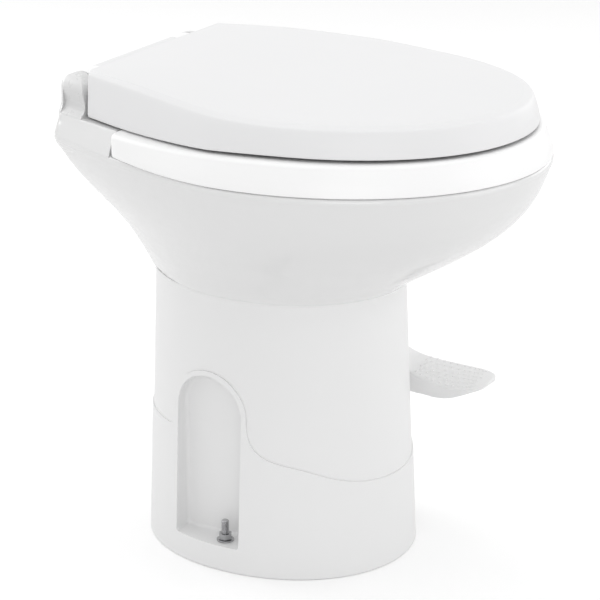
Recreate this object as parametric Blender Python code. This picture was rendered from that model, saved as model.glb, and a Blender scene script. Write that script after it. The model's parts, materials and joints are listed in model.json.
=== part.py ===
"""Gravity-flush toilet for a recreational vehicle, modelled in metres with +Z up.

The front of the seat looks along +X. The foot pedal is on the +Y side, and the near side with its bolt recess
faces -Y. The floor is at Z zero, and the origin is under the middle of the whole object.
"""

import math

import bmesh
import bpy
from mathutils import Vector

# Fits shared by all pieces
GAP = 0.0003                    # between two pieces that touch
SLIP = 0.0003                   # around a shaft or a bolt in its hole
OVERRUN = 0.02                  # how far a cutter runs past what it cuts
BLEND = 0.002                   # how far a joined shape sinks into its neighbour

# Outlines of the moulded shells, counted in points
NOSE_STEPS = 9
SIDE_STEPS = 5
CORNER_STEPS = 3
REAR_STEPS = 2
TAIL_STEPS = SIDE_STEPS + CORNER_STEPS + REAR_STEPS
ROUND_SIDES = 20
SMALL_SIDES = 12
BROAD_SIDES = 28

# Heights that the whole object follows
FLOOR_Z = 0.0
PEDESTAL_TOP_Z = 0.2859
RIM_CREASE_Z = 0.4200
RIM_TOP_Z = 0.4252
SKIRT_BOTTOM_Z = 0.4257
LID_EDGE_FRONT_Z = 0.4570
LID_EDGE_REAR_Z = 0.4490
LID_TOP_FRONT_Z = 0.4850
LID_TOP_REAR_Z = 0.4945
LID_FALL_START_X = 0.064        # the lid's lower edge falls between these two places
LID_FALL_END_X = -0.148
LID_SEAT_GAP_FRONT = 0.0032
LID_SEAT_GAP_REAR = 0.0015

# Widths that the bowl, the seat and the lid share
RIM_HALF_WIDTH = 0.1985
SEAT_SIDE_STEP = 0.0003         # the seat is this much narrower than the rim on each side
LID_SIDE_STEP = 0.0185          # the lid is this much narrower than the seat on each side

# Lid
LID_FRONT_X = 0.2242
LID_WIDEST_X = -0.0079
LID_HALF_WIDTH = RIM_HALF_WIDTH - SEAT_SIDE_STEP - LID_SIDE_STEP
LID_REAR_X = -0.1872
LID_REAR_HALF_WIDTH = 0.1219
LID_CORNER = 0.004
LID_TOP_INSET = 0.0158
LID_TOP_REAR_INSET = 0.0010
LID_TOP_REAR_CORNER_INSET = 0.0050
LID_DOME = 0.0025
LID_WALL = 0.0040
LID_TOP_WALL = 0.0055
LID_NOSE_POWER = 2.06
LID_SIDE_POWER = 1.233
LID_SIDE_SHARES = ((0.0, 0.0), (0.05, 0.16), (0.16, 0.42), (0.36, 0.70), (0.62, 0.88), (0.86, 0.965), (1.06, 1.0))
LID_DOME_SHARES = ((0.90, 0.35), (0.62, 0.80), (0.28, 0.97))

# Seat ring
SEAT_FRONT_X = 0.2380
SEAT_WIDEST_X = 0.0033
SEAT_HALF_WIDTH = RIM_HALF_WIDTH - SEAT_SIDE_STEP
SEAT_REAR_X = -0.1365
SEAT_REAR_HALF_WIDTH = 0.1580
SEAT_CORNER = 0.008
SEAT_NOSE_POWER = 1.99
SEAT_SIDE_POWER = 1.75
SEAT_LEAN = 0.0055              # how far the skirt leans in on its way up
SEAT_EDGE_ROUND = 0.0025
SEAT_SKIRT_WALL = 0.0040
SEAT_UNDERSIDE_Z = 0.4352
SEAT_HOLE_FRONT_X = 0.1640
SEAT_HOLE_WIDEST_X = 0.0200
SEAT_HOLE_HALF_WIDTH = 0.1060
SEAT_HOLE_REAR_X = -0.1020
SEAT_HOLE_REAR_HALF_WIDTH = 0.0400
SEAT_HOLE_CORNER = 0.0200
SEAT_HOLE_SLOPE = 0.0220        # width of the slope down into the hole
SEAT_HOLE_DROP = 0.0030
SEAT_HOLE_LIP = 0.0050
SEAT_FOOT_RADIUS = 0.0090
SEAT_FOOT_X = 0.1150
SEAT_FOOT_REAR_X = -0.0500
SEAT_FOOT_SHARE = 0.612         # how far across the ring's underside the front feet sit
SEAT_FOOT_REAR_SHARE = 0.726
LID_FOOT_RADIUS = 0.0070
LID_FOOT_X = 0.1000
LID_FOOT_SHARE = 0.85

# Hinge across the rear deck
HINGE_X = -0.2098
HINGE_Z = 0.4665
KNUCKLE_RADIUS = 0.0195
PIN_RADIUS = 0.0040
LID_KNUCKLE_HALF = 0.0697
SEAT_KNUCKLE_OUT = 0.0947
POST_IN = 0.0965
POST_TOP_INSET = 0.0200
# Each level of a post's outer side: its height and how far it is drawn in, as shares
POST_SIDE_SHARES = (
    (0.00, 0.00), (0.06, 0.03), (0.13, 0.11), (0.20, 0.20), (0.28, 0.245),
    (0.60, 0.27), (0.74, 0.34), (0.85, 0.50), (0.94, 0.76), (1.04, 1.20),
)
PIN_HALF = 0.1120
DAMPER_RADIUS = 0.0090
DAMPER_SPACE = 0.0030
ARM_BOTTOM_Z = 0.4365
ARM_TOP_Z = 0.4475
ARM_HEEL = 0.0040
STUD_RADIUS = 0.0030
STUD_Y = 0.1085
STUD_IN_POST = 0.0095            # the stud's length above the deck's top
STUD_IN_DECK = 0.0240            # and below it
ANCHOR_RADIUS = 0.0060
ANCHOR_FLANGE = 0.0080
ANCHOR_FLANGE_HIGH = 0.0015
ANCHOR_IN_DECK = 0.0255
ANCHOR_END_SPARE = 0.0010

# Bowl: its widest outline at the rim, and the outline that its foot follows
RIM_WIDEST_X = 0.0040
RIM_REAR_X = -0.2355
RIM_REAR_HALF_WIDTH = 0.1155
RIM_CORNER = 0.0125
RIM_SIDE_POWER = 1.4
FOOT_FRONT_X = 0.0894
FOOT_WIDEST_X = -0.0408
FOOT_HALF_WIDTH = 0.1066
FOOT_REAR_X = -0.1710
FOOT_REAR_HALF_WIDTH = 0.0300
FOOT_CORNER = 0.0260
FOOT_NOSE_POWER = 2.07
FOOT_SIDE_POWER = 2.0
BOWL_FOOT_Z = PEDESTAL_TOP_Z + GAP
# Each level's height, rear growth and front growth, as shares between foot and rim
BOWL_LEVEL_SHARES = (
    (1.000, 1.000, 1.000), (0.957, 0.955, 0.988), (0.888, 0.895, 0.964), (0.770, 0.770, 0.920),
    (0.650, 0.625, 0.850), (0.530, 0.475, 0.750), (0.420, 0.350, 0.630), (0.320, 0.262, 0.495),
    (0.225, 0.206, 0.360), (0.130, 0.160, 0.215), (0.055, 0.126, 0.105), (0.000, 0.100, 0.045),
)
RIM_ROUND = 0.0022
BOWL_WALL = 0.0090
BOWL_FOOT_WIDTH = 0.0110
HOLLOW_TOP_Z = 0.3950
HOLLOW_LEVEL_SHARES = ((0.160, 0.175, 0.255), (0.363, 0.298, 0.554), (0.588, 0.549, 0.799), (0.740, 0.735, 0.905))
HOLLOW_TOP_SHARES = (0.820, 0.935)
MOUTH_FRONT_X = 0.1700
MOUTH_WIDEST_X = 0.0200
MOUTH_HALF_WIDTH = 0.1160
MOUTH_REAR_X = -0.1080
MOUTH_REAR_HALF_WIDTH = 0.0440
MOUTH_CORNER = 0.0220
MOUTH_ROUND = 0.0030
RIM_LIP_Z = 0.4010
RIM_LIP_UNDERCUT = 0.0090
BASIN_HIGH_Z = 0.3850
BASIN_HIGH_INSET = -0.0080
BASIN_MID_Z = 0.3560
BASIN_MID_INSET = 0.0200
BASIN_LOW_Z = 0.3300
BASIN_LOW_INSET = 0.0560
THROAT_Z = 0.3100
THROAT_RADIUS = 0.0440
OUTLET_NECK_Z = 0.2990
OUTLET_NECK_RADIUS = 0.0345
OUTLET_RADIUS = 0.0315
BASIN_WALL = 0.0080
PAD_RADIUS = 0.0680
PAD_BOTTOM_Z = 0.2888
PAD_TOP_Z = 0.3030
PAD_SHOULDER_Z = 0.3080
PAD_SHOULDER_RADIUS = 0.0600

# Raised rear deck of the bowl
DECK_FRONT_X = -0.1385
DECK_TOP_Z = 0.4470
DECK_WAIST_Z = 0.4389
DECK_ROOT_Z = 0.4050
DECK_FOOT_FRONT_Z = 0.4180      # the lower edge of the deck's side falls from its front to its rear
DECK_FOOT_REAR_Z = 0.4115
DECK_FOOT_INSET = 0.0035
DECK_BULGE_Z = 0.4250
DECK_EDGE_ROUND = 0.0008
DECK_WAIST_INSET = 0.0006
DECK_WAIST_REAR_INSET = 0.0048
DECK_TOP_INSET = 0.0014
DECK_TOP_REAR_INSET = 0.0060
POCKET_HALF_WIDTH = 0.0960
POCKET_FLOOR_Z = 0.4345
POCKET_FRONT_X = -0.1000

# Pedestal: the shroud's outline at its top and at the floor, and the proud base
SHROUD_TOP_LONG = 0.1302
SHROUD_TOP_WIDE = 0.1066
SHROUD_TOP_X = -0.0408
SHROUD_FLOOR_LONG = 0.1395
SHROUD_FLOOR_WIDE = 0.1214
PEDESTAL_FLOOR_X = -0.0390
BASE_PROUD = 0.0015
PEDESTAL_POWER = 2.07
BAND_PROUD = 0.0012
BAND_HIGH = 0.0042
BAND_EDGE = 0.0007
SHROUD_WALL = 0.0030
SHROUD_BOTTOM_Z = 0.0800
SHROUD_RIM_WIDTH = 0.0085
LEDGE_TOP_Z = 0.2789
LEDGE_THICK = 0.0035
LEDGE_HOLE_RADIUS = 0.0655
BASE_WALL = 0.0035
BASE_TOP_Z = 0.2150
FOOT_FLANGE_WIDTH = 0.0140
FOOT_FLANGE_HIGH = 0.0060
FOOT_FLANGE_SLOPE = 0.0030
BASE_EDGE = 0.0012

# Seam between the base and the shroud, the same on both sides
SEAM_GAP = 0.0005
SEAM_REAR_Z = 0.1375
SEAM_FRONT_Z = 0.0915
SEAM_FILLET = 0.0100
ARCH_X = -0.0585
ARCH_HALF_WIDTH = 0.0445
ARCH_SPRING_Z = 0.1610
ARCH_STEPS = 14
SEAM_BEND_X = 0.0300
SEAM_BEND_Z = 0.1180
SEAM_LAND_X = 0.1250
SEAM_CURVE_STEPS = 6

# Bolt recess
NICHE_HALF_WIDTH = 0.0395
NICHE_FLOOR_Z = 0.0260
NICHE_PLATE = 0.0060
NICHE_BACK_Y = 0.0890
NICHE_WALL = 0.0030
NICHE_OUT_Y = 0.1300
FLOOR_BOLT_X = -0.0430
FLOOR_BOLT_Y = 0.1060
FLOOR_BOLT_RADIUS = 0.0038
FLOOR_BOLT_TOP_Z = 0.0480
FLOOR_BOLT_BOTTOM_Z = 0.0105
FLOOR_BOLT_HEAD_RADIUS = 0.0080
FLOOR_BOLT_HEAD_HIGH = 0.0030
FLOOR_WASHER_RADIUS = 0.0088
FLOOR_WASHER_HIGH = 0.0014
FLOOR_NUT_RADIUS = 0.0070
FLOOR_NUT_HIGH = 0.0060

# Flush valve: a half ball that turns under the bowl's outlet
BALL_X = -0.0450
BALL_Z = 0.2520
BALL_RADIUS = 0.0450
BALL_WALL = 0.0040
BALL_CAP_Z = 0.0277             # the cap is what lies above this height over the centre
BALL_CHEEK_Y = 0.0280           # the cheeks lie beyond this distance from the middle
BALL_HUB_RADIUS = 0.0100
BALL_HUB_IN = 0.0360
BALL_HUB_OUT = 0.0462
CHAMBER_RADIUS = 0.0475
CHAMBER_WALL = 0.0050
CHAMBER_BOTTOM_Z = 0.2050
CHAMBER_CONE_Z = 0.1890
SPIGOT_RADIUS = 0.0360
SPIGOT_WALL = 0.0040
SPIGOT_BOTTOM_Z = 0.0120
PIPE_JOINT_Z = 0.1600           # the valve's neck ends here, in the socket of the outlet pipe
PIPE_SOCKET_DEEP = 0.0200
PIPE_SOCKET_WALL = 0.0040
PIPE_SHOULDER = 0.0060
FLANGE_RADIUS = 0.0780
FLANGE_THICK = 0.0050
FLANGE_TOP_Z = 0.2842
SEAL_RADIUS = 0.0322
SEAL_OUT_RADIUS = 0.0500
SEAL_CHAMFER = 0.0015
BOWL_BOLT_CIRCLE = 0.0585
BOWL_BOLT_RADIUS = 0.0028
BOWL_BOLT_HEAD_RADIUS = 0.0052
BOWL_BOLT_HEAD_HIGH = 0.0040
BOWL_BOLT_TOP_Z = 0.2985
BOWL_BOLT_SPARE = 0.0012
FLOOR_SEAL_OUT_RADIUS = 0.0600
FLOOR_SEAL_TOP_Z = 0.0190
FLOOR_SEAL_BOTTOM_Z = 0.0010
SHAFT_RADIUS = 0.0055
SHAFT_START = 0.0368
BUSH_WALL = 0.0032
BUSH_FLANGE = 0.0022
BUSH_FLANGE_THICK = 0.0016
BOSS_WALL = 0.0034
BOSS_IN = 0.0450
BOSS_OUT = 0.0620

# Gear train from the pedal to the ball
PEDAL_X = -0.0120
PEDAL_Z = 0.2220
PINION_TEETH = 12
SECTOR_FULL_TEETH = 40
SECTOR_TEETH = 8
PRESSURE_ANGLE = math.radians(25.0)
ADDENDUM_SHARE = 0.90
DEDENDUM_SHARE = 1.18
BACKLASH = 0.00040
FLANK_STEPS = 4
PINION_IN = 0.0650
PINION_OUT = 0.0730
SECTOR_IN = 0.0660
SECTOR_OUT = 0.0720
SECTOR_HUB_RADIUS = 0.0110
SHAFT_END_SPARE = 0.0030
SPRING_PIN_REACH = 0.0160
SPRING_PIN_RADIUS = 0.0015
SPRING_PIN_OUT = 0.0805
SPRING_Y = 0.0765
SPRING_LUG_RADIUS = 0.0045
SPRING_ANCHOR_Z = 0.2640
SPRING_ARM_HALF = 0.0045
SPRING_ARM_IN = 0.0490
SPRING_WIRE = 0.0007
SPRING_COIL_RADIUS = 0.0040
SPRING_LOOP_RADIUS = 0.0026
SPRING_CURLS = 7
SPRING_CURL_POINTS = 8
SPRING_LEAD = 0.0030            # straight wire between a hook and the coil

# Foot pedal
PEDAL_SHAFT_RADIUS = 0.0060
PEDAL_SHAFT_IN = 0.0485
PEDAL_BOSS_IN = 0.0300
PEDAL_BOSS_OUT = 0.0605
PEDAL_BOSS_RADIUS = 0.0110
PEDAL_BUSH_WALL = 0.0030
PEDAL_BUSH_IN = 0.0990
PEDAL_BUSH_OUT = 0.1085
PEDAL_HUB_RADIUS = 0.0160
PEDAL_HUB_IN = 0.1098
PEDAL_ARM_IN = 0.1155
PEDAL_ARM_OUT = 0.1365
PEDAL_BORE_OUT = 0.1300
TREAD_TOP_Z = 0.1570
TREAD_EDGE_Z = 0.1530
TREAD_BOTTOM_Z = 0.1385
TREAD_EDGE_ROUND = 0.0018
TREAD_UNDERCUT = 0.0060
TREAD_LENGTH = 0.0860
TREAD_REAR_X = 0.0450
TREAD_WIDTH = 0.0440
TREAD_NEAR_Y = 0.1105
# Plan of the tread as shares of its length and width
TREAD_PLAN_SHARES = (
    (0.00, 0.07), (0.30, 0.00), (0.62, 0.00), (0.80, 0.08), (0.93, 0.28), (1.00, 0.56),
    (0.97, 0.80), (0.86, 0.95), (0.66, 1.00), (0.30, 0.985), (0.00, 0.95),
)
# Side view of the arm, as shares from the hinge to the tread's rear end and down to its top
ARM_TOP_SHARES = ((0.42, 0.52), (0.58, 0.72), (0.74, 0.86), (0.92, 0.965), (1.22, 1.02))
ARM_BOTTOM_SHARES = ((1.22, 1.25), (0.95, 1.26), (0.72, 1.19), (0.46, 0.99), (0.20, 0.72))
BUMP_RADIUS = 0.0016
BUMP_HIGH = 0.0008
BUMP_ROWS = 4
BUMP_COLUMNS = 7
BUMP_FIELD_SHARES = (0.26, 0.84, 0.20, 0.84)
PEDAL_WASHER_RADIUS = 0.0075
PEDAL_WASHER_HIGH = 0.0010
PEDAL_SCREW_RADIUS = 0.0022
PEDAL_SCREW_HEAD_RADIUS = 0.0055
PEDAL_SCREW_HEAD_HIGH = 0.0032
PEDAL_SCREW_IN = 0.1180

# Water valve, worked by a spiral cam on the ball's near pivot
CAM_IN = 0.0680
CAM_OUT = 0.0780
CAM_SMALL_RADIUS = 0.0120
CAM_LIFT = 0.0080
CAM_TURN = math.radians(100.0)
CAM_STEPS = 14
CAM_DWELL = math.radians(24.0)
PLUNGER_Y = -0.0730
PLUNGER_RADIUS = 0.0045
PLUNGER_NOSE_RADIUS = 0.0022
PLUNGER_NOSE_LONG = 0.0030
PLUNGER_NOSE_GAP = 0.0007
PLUNGER_REAR_X = -0.1020
VALVE_BARREL_RADIUS = 0.0100
VALVE_BARREL_REAR_X = -0.1160
VALVE_BARREL_FRONT_X = -0.0850
VALVE_BARREL_END_WALL = 0.0030
VALVE_CROSS_X = -0.1090
VALVE_CROSS_RADIUS = 0.0092
VALVE_CROSS_END_Y = 0.0092
INLET_RADIUS = 0.0085
INLET_BORE_RADIUS = 0.0055
INLET_BORE_DEPTH = 0.0300
INLET_END_X = -0.1600
INLET_NUT_RADIUS = 0.0130
INLET_NUT_IN_X = -0.1430
INLET_NUT_OUT_X = -0.1560
INLET_COLLAR_RADIUS = 0.0105
INLET_COLLAR_LONG = 0.0030
VALVE_ARM_HALF_HIGH = 0.0060
VALVE_ARM_Y = -0.0370
VALVE_ARM_HALF_WIDE = 0.0070
VALVE_ARM_FRONT_X = -0.0780
WINDOW_HALF_WIDTH = 0.0240
WINDOW_BOTTOM_Z = 0.2300
WINDOW_TOP_Z = 0.2720
WINDOW_CORNER = 0.0060

# Rinse line from the water valve to the bowl
NIPPLE_Y = -0.0635
NIPPLE_RADIUS = 0.0050
NIPPLE_TOP_Z = 0.2660
HOSE_RADIUS = 0.0062
HOSE_PLATE_SPACE = 0.0016
NOZZLE_Z = 0.3860
NOZZLE_RADIUS = 0.0068
NOZZLE_TAIL_X = -0.1500
NOZZLE_HEAD_RADIUS = 0.0088
NOZZLE_HEAD_LONG = 0.0040
NOZZLE_BORE_RADIUS = 0.0035
NOZZLE_STANDOFF = 0.0036
CLAMP_WALL = 0.0014
CLAMP_WIDTH = 0.0050
# Places that the rinse hose passes, chosen by hand
HOSE_ROUTE = (
    (-0.1090, -0.0635, 0.2663), (-0.1090, -0.0635, 0.2790), (-0.1090, -0.0635, 0.2920), (-0.1170, -0.0620, 0.3060),
    (-0.1380, -0.0560, 0.3300), (-0.1600, -0.0420, 0.3560), (-0.1730, -0.0230, 0.3770), (-0.1710, -0.0060, 0.3850),
    (-0.1620, 0.0, 0.3860), (-0.1503, 0.0, 0.3860),
)

WHITE_LID = (0.90, 0.90, 0.90, 1.0)
WHITE_SEAT = (0.95, 0.95, 0.95, 1.0)
WHITE_CHINA = (0.87, 0.87, 0.87, 1.0)
WHITE_PEDESTAL = (0.89, 0.89, 0.89, 1.0)
STEEL = (0.62, 0.62, 0.62, 1.0)
BLACK_RUBBER = (0.03, 0.03, 0.03, 1.0)
GREY_RUBBER = (0.35, 0.35, 0.36, 1.0)
GREY_PLASTIC = (0.55, 0.56, 0.58, 1.0)
IVORY_PLASTIC = (0.80, 0.79, 0.74, 1.0)


# Helpers

def clear_scene():
    for thing in list(bpy.data.objects):
        bpy.data.objects.remove(thing)


def material(name, colour, roughness, metallic=0.0):
    made = bpy.data.materials.new(name)
    made.use_nodes = True
    made.diffuse_color = colour
    shader = made.node_tree.nodes["Principled BSDF"]
    shader.inputs["Base Color"].default_value = colour
    shader.inputs["Roughness"].default_value = roughness
    shader.inputs["Metallic"].default_value = metallic
    return made


def object_from(bm, name):
    """Closes the bmesh into a new object with its normals facing out."""
    bmesh.ops.recalc_face_normals(bm, faces=bm.faces)
    mesh = bpy.data.meshes.new(name)
    bm.to_mesh(mesh)
    bm.free()
    made = bpy.data.objects.new(name, mesh)
    bpy.context.scene.collection.objects.link(made)
    return made


def loft(name, rings, closed=False):
    """Skins rings of equal point counts, capped at both ends or joined last to first."""
    bm = bmesh.new()
    loops = [[bm.verts.new(point) for point in ring] for ring in rings]
    pairs = list(zip(loops, loops[1:]))
    if closed:
        pairs.append((loops[-1], loops[0]))
    else:
        bm.faces.new(loops[0])
        bm.faces.new(loops[-1])
    for first, second in pairs:
        for i in range(len(first)):
            after = (i + 1) % len(first)
            bm.faces.new((first[i], first[after], second[after], second[i]))
    bmesh.ops.triangulate(bm, faces=bm.faces)
    return object_from(bm, name)


def prism(name, outline, axis, low, high):
    """Extrudes an outline along X, Y or Z. Its points name the other two axes in order."""
    place = {"X": lambda p: (low, p[0], p[1]), "Y": lambda p: (p[0], low, p[1]), "Z": lambda p: (p[0], p[1], low)}
    travel = {"X": Vector((1, 0, 0)), "Y": Vector((0, 1, 0)), "Z": Vector((0, 0, 1))}[axis] * (high - low)
    bm = bmesh.new()
    face = bm.faces.new([bm.verts.new(place[axis](point)) for point in outline])
    raised = bmesh.ops.extrude_face_region(bm, geom=[face])
    verts = [part for part in raised["geom"] if isinstance(part, bmesh.types.BMVert)]
    bmesh.ops.translate(bm, vec=travel, verts=verts)
    bmesh.ops.triangulate(bm, faces=bm.faces)
    return object_from(bm, name)


def turned(name, profile, centre, axis, sides=ROUND_SIDES):
    """Spins a closed profile of (radius, place along the axis) around an axis through the centre."""
    along = {"X": Vector((1, 0, 0)), "Y": Vector((0, 1, 0)), "Z": Vector((0, 0, 1))}[axis]
    outward = Vector((0, 0, 1)) if axis != "Z" else Vector((1, 0, 0))
    bm = bmesh.new()
    verts = [bm.verts.new(Vector(centre) + outward * radius + along * place) for radius, place in profile]
    edges = [bm.edges.new((verts[i], verts[(i + 1) % len(verts)])) for i in range(len(verts))]
    if profile[0][0] == 0.0 and profile[-1][0] == 0.0:
        bm.edges.remove(edges.pop())
    bmesh.ops.spin(bm, geom=verts + edges, cent=centre, axis=along, angle=2 * math.pi, steps=sides, use_merge=True)
    bmesh.ops.remove_doubles(bm, verts=bm.verts, dist=GAP / 100)
    return object_from(bm, name)


def rod(name, centre, axis, radius, low, high, sides=ROUND_SIDES):
    return turned(name, [(0.0, low), (radius, low), (radius, high), (0.0, high)], centre, axis, sides)


def sleeve(name, centre, axis, outer, inner, low, high, sides=ROUND_SIDES):
    return turned(name, [(inner, low), (outer, low), (outer, high), (inner, high)], centre, axis, sides)


def box(name, low, high):
    outline = [(low[0], low[1]), (high[0], low[1]), (high[0], high[1]), (low[0], high[1])]
    return prism(name, outline, "Z", low[2], high[2])


def combine(target, other, operation="DIFFERENCE", solver="EXACT"):
    """Keeps the other shape as a hidden helper of the target."""
    other.hide_render = True
    other.display_type = "WIRE"
    step = target.modifiers.new(f"{operation.lower()} {other.name}", "BOOLEAN")
    step.operation = operation
    step.object = other
    step.solver = solver


def finish(made, look, smooth=True):
    made.data.materials.append(look)
    if smooth:
        made.data.shade_smooth()
        made.data.set_sharp_from_angle(angle=math.radians(35))
    return made


def place_at(made, joint_origin):
    """Moves the object's origin to its joint axis and leaves its shape where it is."""
    shift = Vector(joint_origin)
    for vert in made.data.vertices:
        vert.co -= shift
    made.location = shift


def smoothstep(share):
    held = min(max(share, 0.0), 1.0)
    return held * held * (3 - 2 * held)


def mix(first, second, share):
    return first + (second - first) * share


def arc(centre, radius, start, end, steps):
    turns = [mix(start, end, i / steps) for i in range(steps + 1)]
    return [(centre[0] + radius * math.cos(a), centre[1] + radius * math.sin(a)) for a in turns]


def bezier(points, steps):
    """Points of a quadratic or cubic Bezier curve, its ends included."""
    made = []
    for i in range(steps + 1):
        row = [Vector(point) for point in points]
        while len(row) > 1:
            row = [a.lerp(b, i / steps) for a, b in zip(row, row[1:])]
        made.append(tuple(row[0]))
    return made


# Outlines in plan

def cubic(controls, t):
    """The place at t on the cubic curve with these four control points."""
    weights = ((1 - t) ** 3, 3 * t * (1 - t) ** 2, 3 * (1 - t) * t * t, t ** 3)
    return tuple(sum(w * point[k] for w, point in zip(weights, controls)) for k in range(2))


class Egg:
    """A plan outline with a round nose, swelling sides and a straight rear with round corners."""

    def __init__(self, front, widest, half_width, rear, rear_half_width, corner, nose_power=2.0, side_power=1.4):
        self.sizes = (front, widest, half_width, rear, rear_half_width, corner)
        self.powers = (nose_power, side_power)

    def inset(self, by, rear_by=None, corner_by=None):
        front, widest, half_width, rear, rear_half, corner = self.sizes
        rear_by = by if rear_by is None else rear_by
        corner_by = rear_by if corner_by is None else corner_by
        return Egg(front - by, widest, half_width - by, rear + rear_by, rear_half - corner_by, corner, *self.powers)

    def toward(self, other, rear_share, front_share=None):
        """Blends two outlines, with one share for the rear and one for the front."""
        front_share = rear_share if front_share is None else front_share
        both = (rear_share + front_share) / 2
        shares = (front_share, both, both, rear_share, both, both)
        sizes = [mix(a, b, share) for a, b, share in zip(self.sizes, other.sizes, shares)]
        powers = [mix(a, b, both) for a, b in zip(self.powers, other.powers)]
        return Egg(*sizes, *powers)

    def shrunk(self, share):
        front, widest, half_width, rear, rear_half, corner = self.sizes
        return Egg(mix(widest, front, share), widest, half_width * share, mix(widest, rear, share),
                   rear_half * share, corner * share, *self.powers)

    def side(self, share):
        """The place on the side at this share of the way from the rear to the widest place, on one smooth curve."""
        _, widest, half_width, rear, rear_half, _ = self.sizes
        power = self.powers[1]
        control_shares = ((1.0, 1.0), (1.15 - 0.24 * power, 1.0), (0.35, min(1.0, 0.35 * power)), (0.0, 0.0))
        low, high = 0.0, 1.0
        for _ in range(40):
            middle = (low + high) / 2
            along, across = cubic(control_shares, middle)
            low, high = (middle, high) if along > share else (low, middle)
        return mix(rear, widest, share), mix(rear_half, half_width, across)

    def half_at(self, x):
        """Half of the outline's width at this x, ahead of its rear corner."""
        front, widest, half_width, rear, _, _ = self.sizes
        power = self.powers[0]
        if x > widest:
            return half_width * (1 - ((x - widest) / (front - widest)) ** power) ** (1 / power)
        return self.side((x - rear) / (widest - rear))[1]

    def points(self):
        front, widest, half_width, rear, rear_half, corner = self.sizes
        half = []
        for i in range(NOSE_STEPS + 1):
            angle = math.pi / 2 * i / NOSE_STEPS
            power = 2 / self.powers[0]
            half.append((widest + (front - widest) * math.cos(angle) ** power, half_width * math.sin(angle) ** power))
        last = corner / (widest - rear)
        half += [self.side(mix(1.0, last, i / SIDE_STEPS)) for i in range(1, SIDE_STEPS + 1)]
        half += bezier([half[-1], (rear, rear_half), (rear, rear_half - corner)], CORNER_STEPS)[1:]
        half += [(rear, mix(half[-1][1], 0.0, i / REAR_STEPS)) for i in range(1, REAR_STEPS + 1)]
        half[0] = (half[0][0], 0.0)
        return half + [(x, -y) for x, y in reversed(half[1:-1])]

    def ring(self, height):
        """The outline in space. The height is one value, or a function of x."""
        level = height if callable(height) else lambda x: height
        return [(x, y, level(x)) for x, y in self.points()]


def oval(middle_x, long, wide, power):
    """A superellipse with as many points as an Egg."""
    shares = [i / NOSE_STEPS / 2 for i in range(NOSE_STEPS)]
    shares += [0.5 + i / TAIL_STEPS / 2 for i in range(TAIL_STEPS + 1)]
    half = []
    for share in shares:
        c, s = math.cos(math.pi * share), math.sin(math.pi * share)
        x = middle_x + math.copysign(long * abs(c) ** (2 / power), c)
        half.append((x, wide * abs(s) ** (2 / power)))
    half[0] = (half[0][0], 0.0)
    half[-1] = (half[-1][0], 0.0)
    return half + [(x, -y) for x, y in reversed(half[1:-1])]


def circle_ring(radius, height):
    return [(x, y, height) for x, y in oval(BALL_X, radius, radius, 2.0)]


# Lid and seat

def lid_fall(x):
    """How far along the lid's fall to the rear this place is, from 0 to 1."""
    return smoothstep((LID_FALL_START_X - x) / (LID_FALL_START_X - LID_FALL_END_X))


def lid_edge(x):
    return mix(LID_EDGE_FRONT_Z, LID_EDGE_REAR_Z, lid_fall(x))


def lid_top(x):
    return mix(LID_TOP_FRONT_Z, LID_TOP_REAR_Z, lid_fall(x))


def seat_top(x):
    return lid_edge(x) - mix(LID_SEAT_GAP_FRONT, LID_SEAT_GAP_REAR, lid_fall(x))


def lid_outlines():
    lower = Egg(LID_FRONT_X, LID_WIDEST_X, LID_HALF_WIDTH, LID_REAR_X, LID_REAR_HALF_WIDTH, LID_CORNER,
                LID_NOSE_POWER, LID_SIDE_POWER)
    return lower, lower.inset(LID_TOP_INSET, LID_TOP_REAR_INSET, LID_TOP_REAR_CORNER_INSET)


def knuckle_bore(name, radius, half_length):
    return rod(name, (HINGE_X, 0.0, HINGE_Z), "Y", radius, -half_length, half_length, SMALL_SIDES)


def make_lid(look):
    lower, upper = lid_outlines()
    rings = [lower.inset(LID_WALL).toward(upper.inset(LID_TOP_WALL), 1.0).shrunk(0.3).ring(
        lambda x: lid_top(x) - LID_TOP_WALL)]
    rings.append(upper.inset(LID_TOP_WALL, LID_WALL).ring(lambda x: lid_top(x) - LID_TOP_WALL))
    rings.append(lower.toward(upper, 0.4).inset(LID_WALL).ring(lambda x: mix(lid_edge(x), lid_top(x), 0.55)))
    rings.append(lower.inset(LID_WALL).ring(lid_edge))
    for inward, up in LID_SIDE_SHARES:
        rings.append(lower.toward(upper, inward).ring(lambda x, up=up: mix(lid_edge(x), lid_top(x), up)))
    for size, rise in LID_DOME_SHARES:
        rings.append(upper.shrunk(size).ring(lambda x, rise=rise: lid_top(x) + LID_DOME * rise))
    lid = loft("lid", rings)
    combine(lid, lid_hump("lid_hump_shape"), "UNION")
    combine(lid, knuckle_bore("lid_bore", DAMPER_RADIUS + SLIP, LID_KNUCKLE_HALF + OVERRUN))
    return finish(lid, look)


def lid_hump(name):
    """The long middle knuckle, blended into the lid's rear wall."""
    inner_x = LID_REAR_X + BLEND
    curve = arc((HINGE_X, HINGE_Z), KNUCKLE_RADIUS, math.radians(72), math.radians(270), 14)
    outline = [(inner_x, lid_top(LID_REAR_X) - GAP)] + curve + [(inner_x, LID_EDGE_REAR_Z + GAP)]
    return prism(name, outline, "Y", -LID_KNUCKLE_HALF, LID_KNUCKLE_HALF)


def seat_outlines():
    outer = Egg(SEAT_FRONT_X, SEAT_WIDEST_X, SEAT_HALF_WIDTH, SEAT_REAR_X, SEAT_REAR_HALF_WIDTH, SEAT_CORNER,
                SEAT_NOSE_POWER, SEAT_SIDE_POWER)
    hole = Egg(SEAT_HOLE_FRONT_X, SEAT_HOLE_WIDEST_X, SEAT_HOLE_HALF_WIDTH, SEAT_HOLE_REAR_X,
               SEAT_HOLE_REAR_HALF_WIDTH, SEAT_HOLE_CORNER)
    return outer, hole


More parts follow.
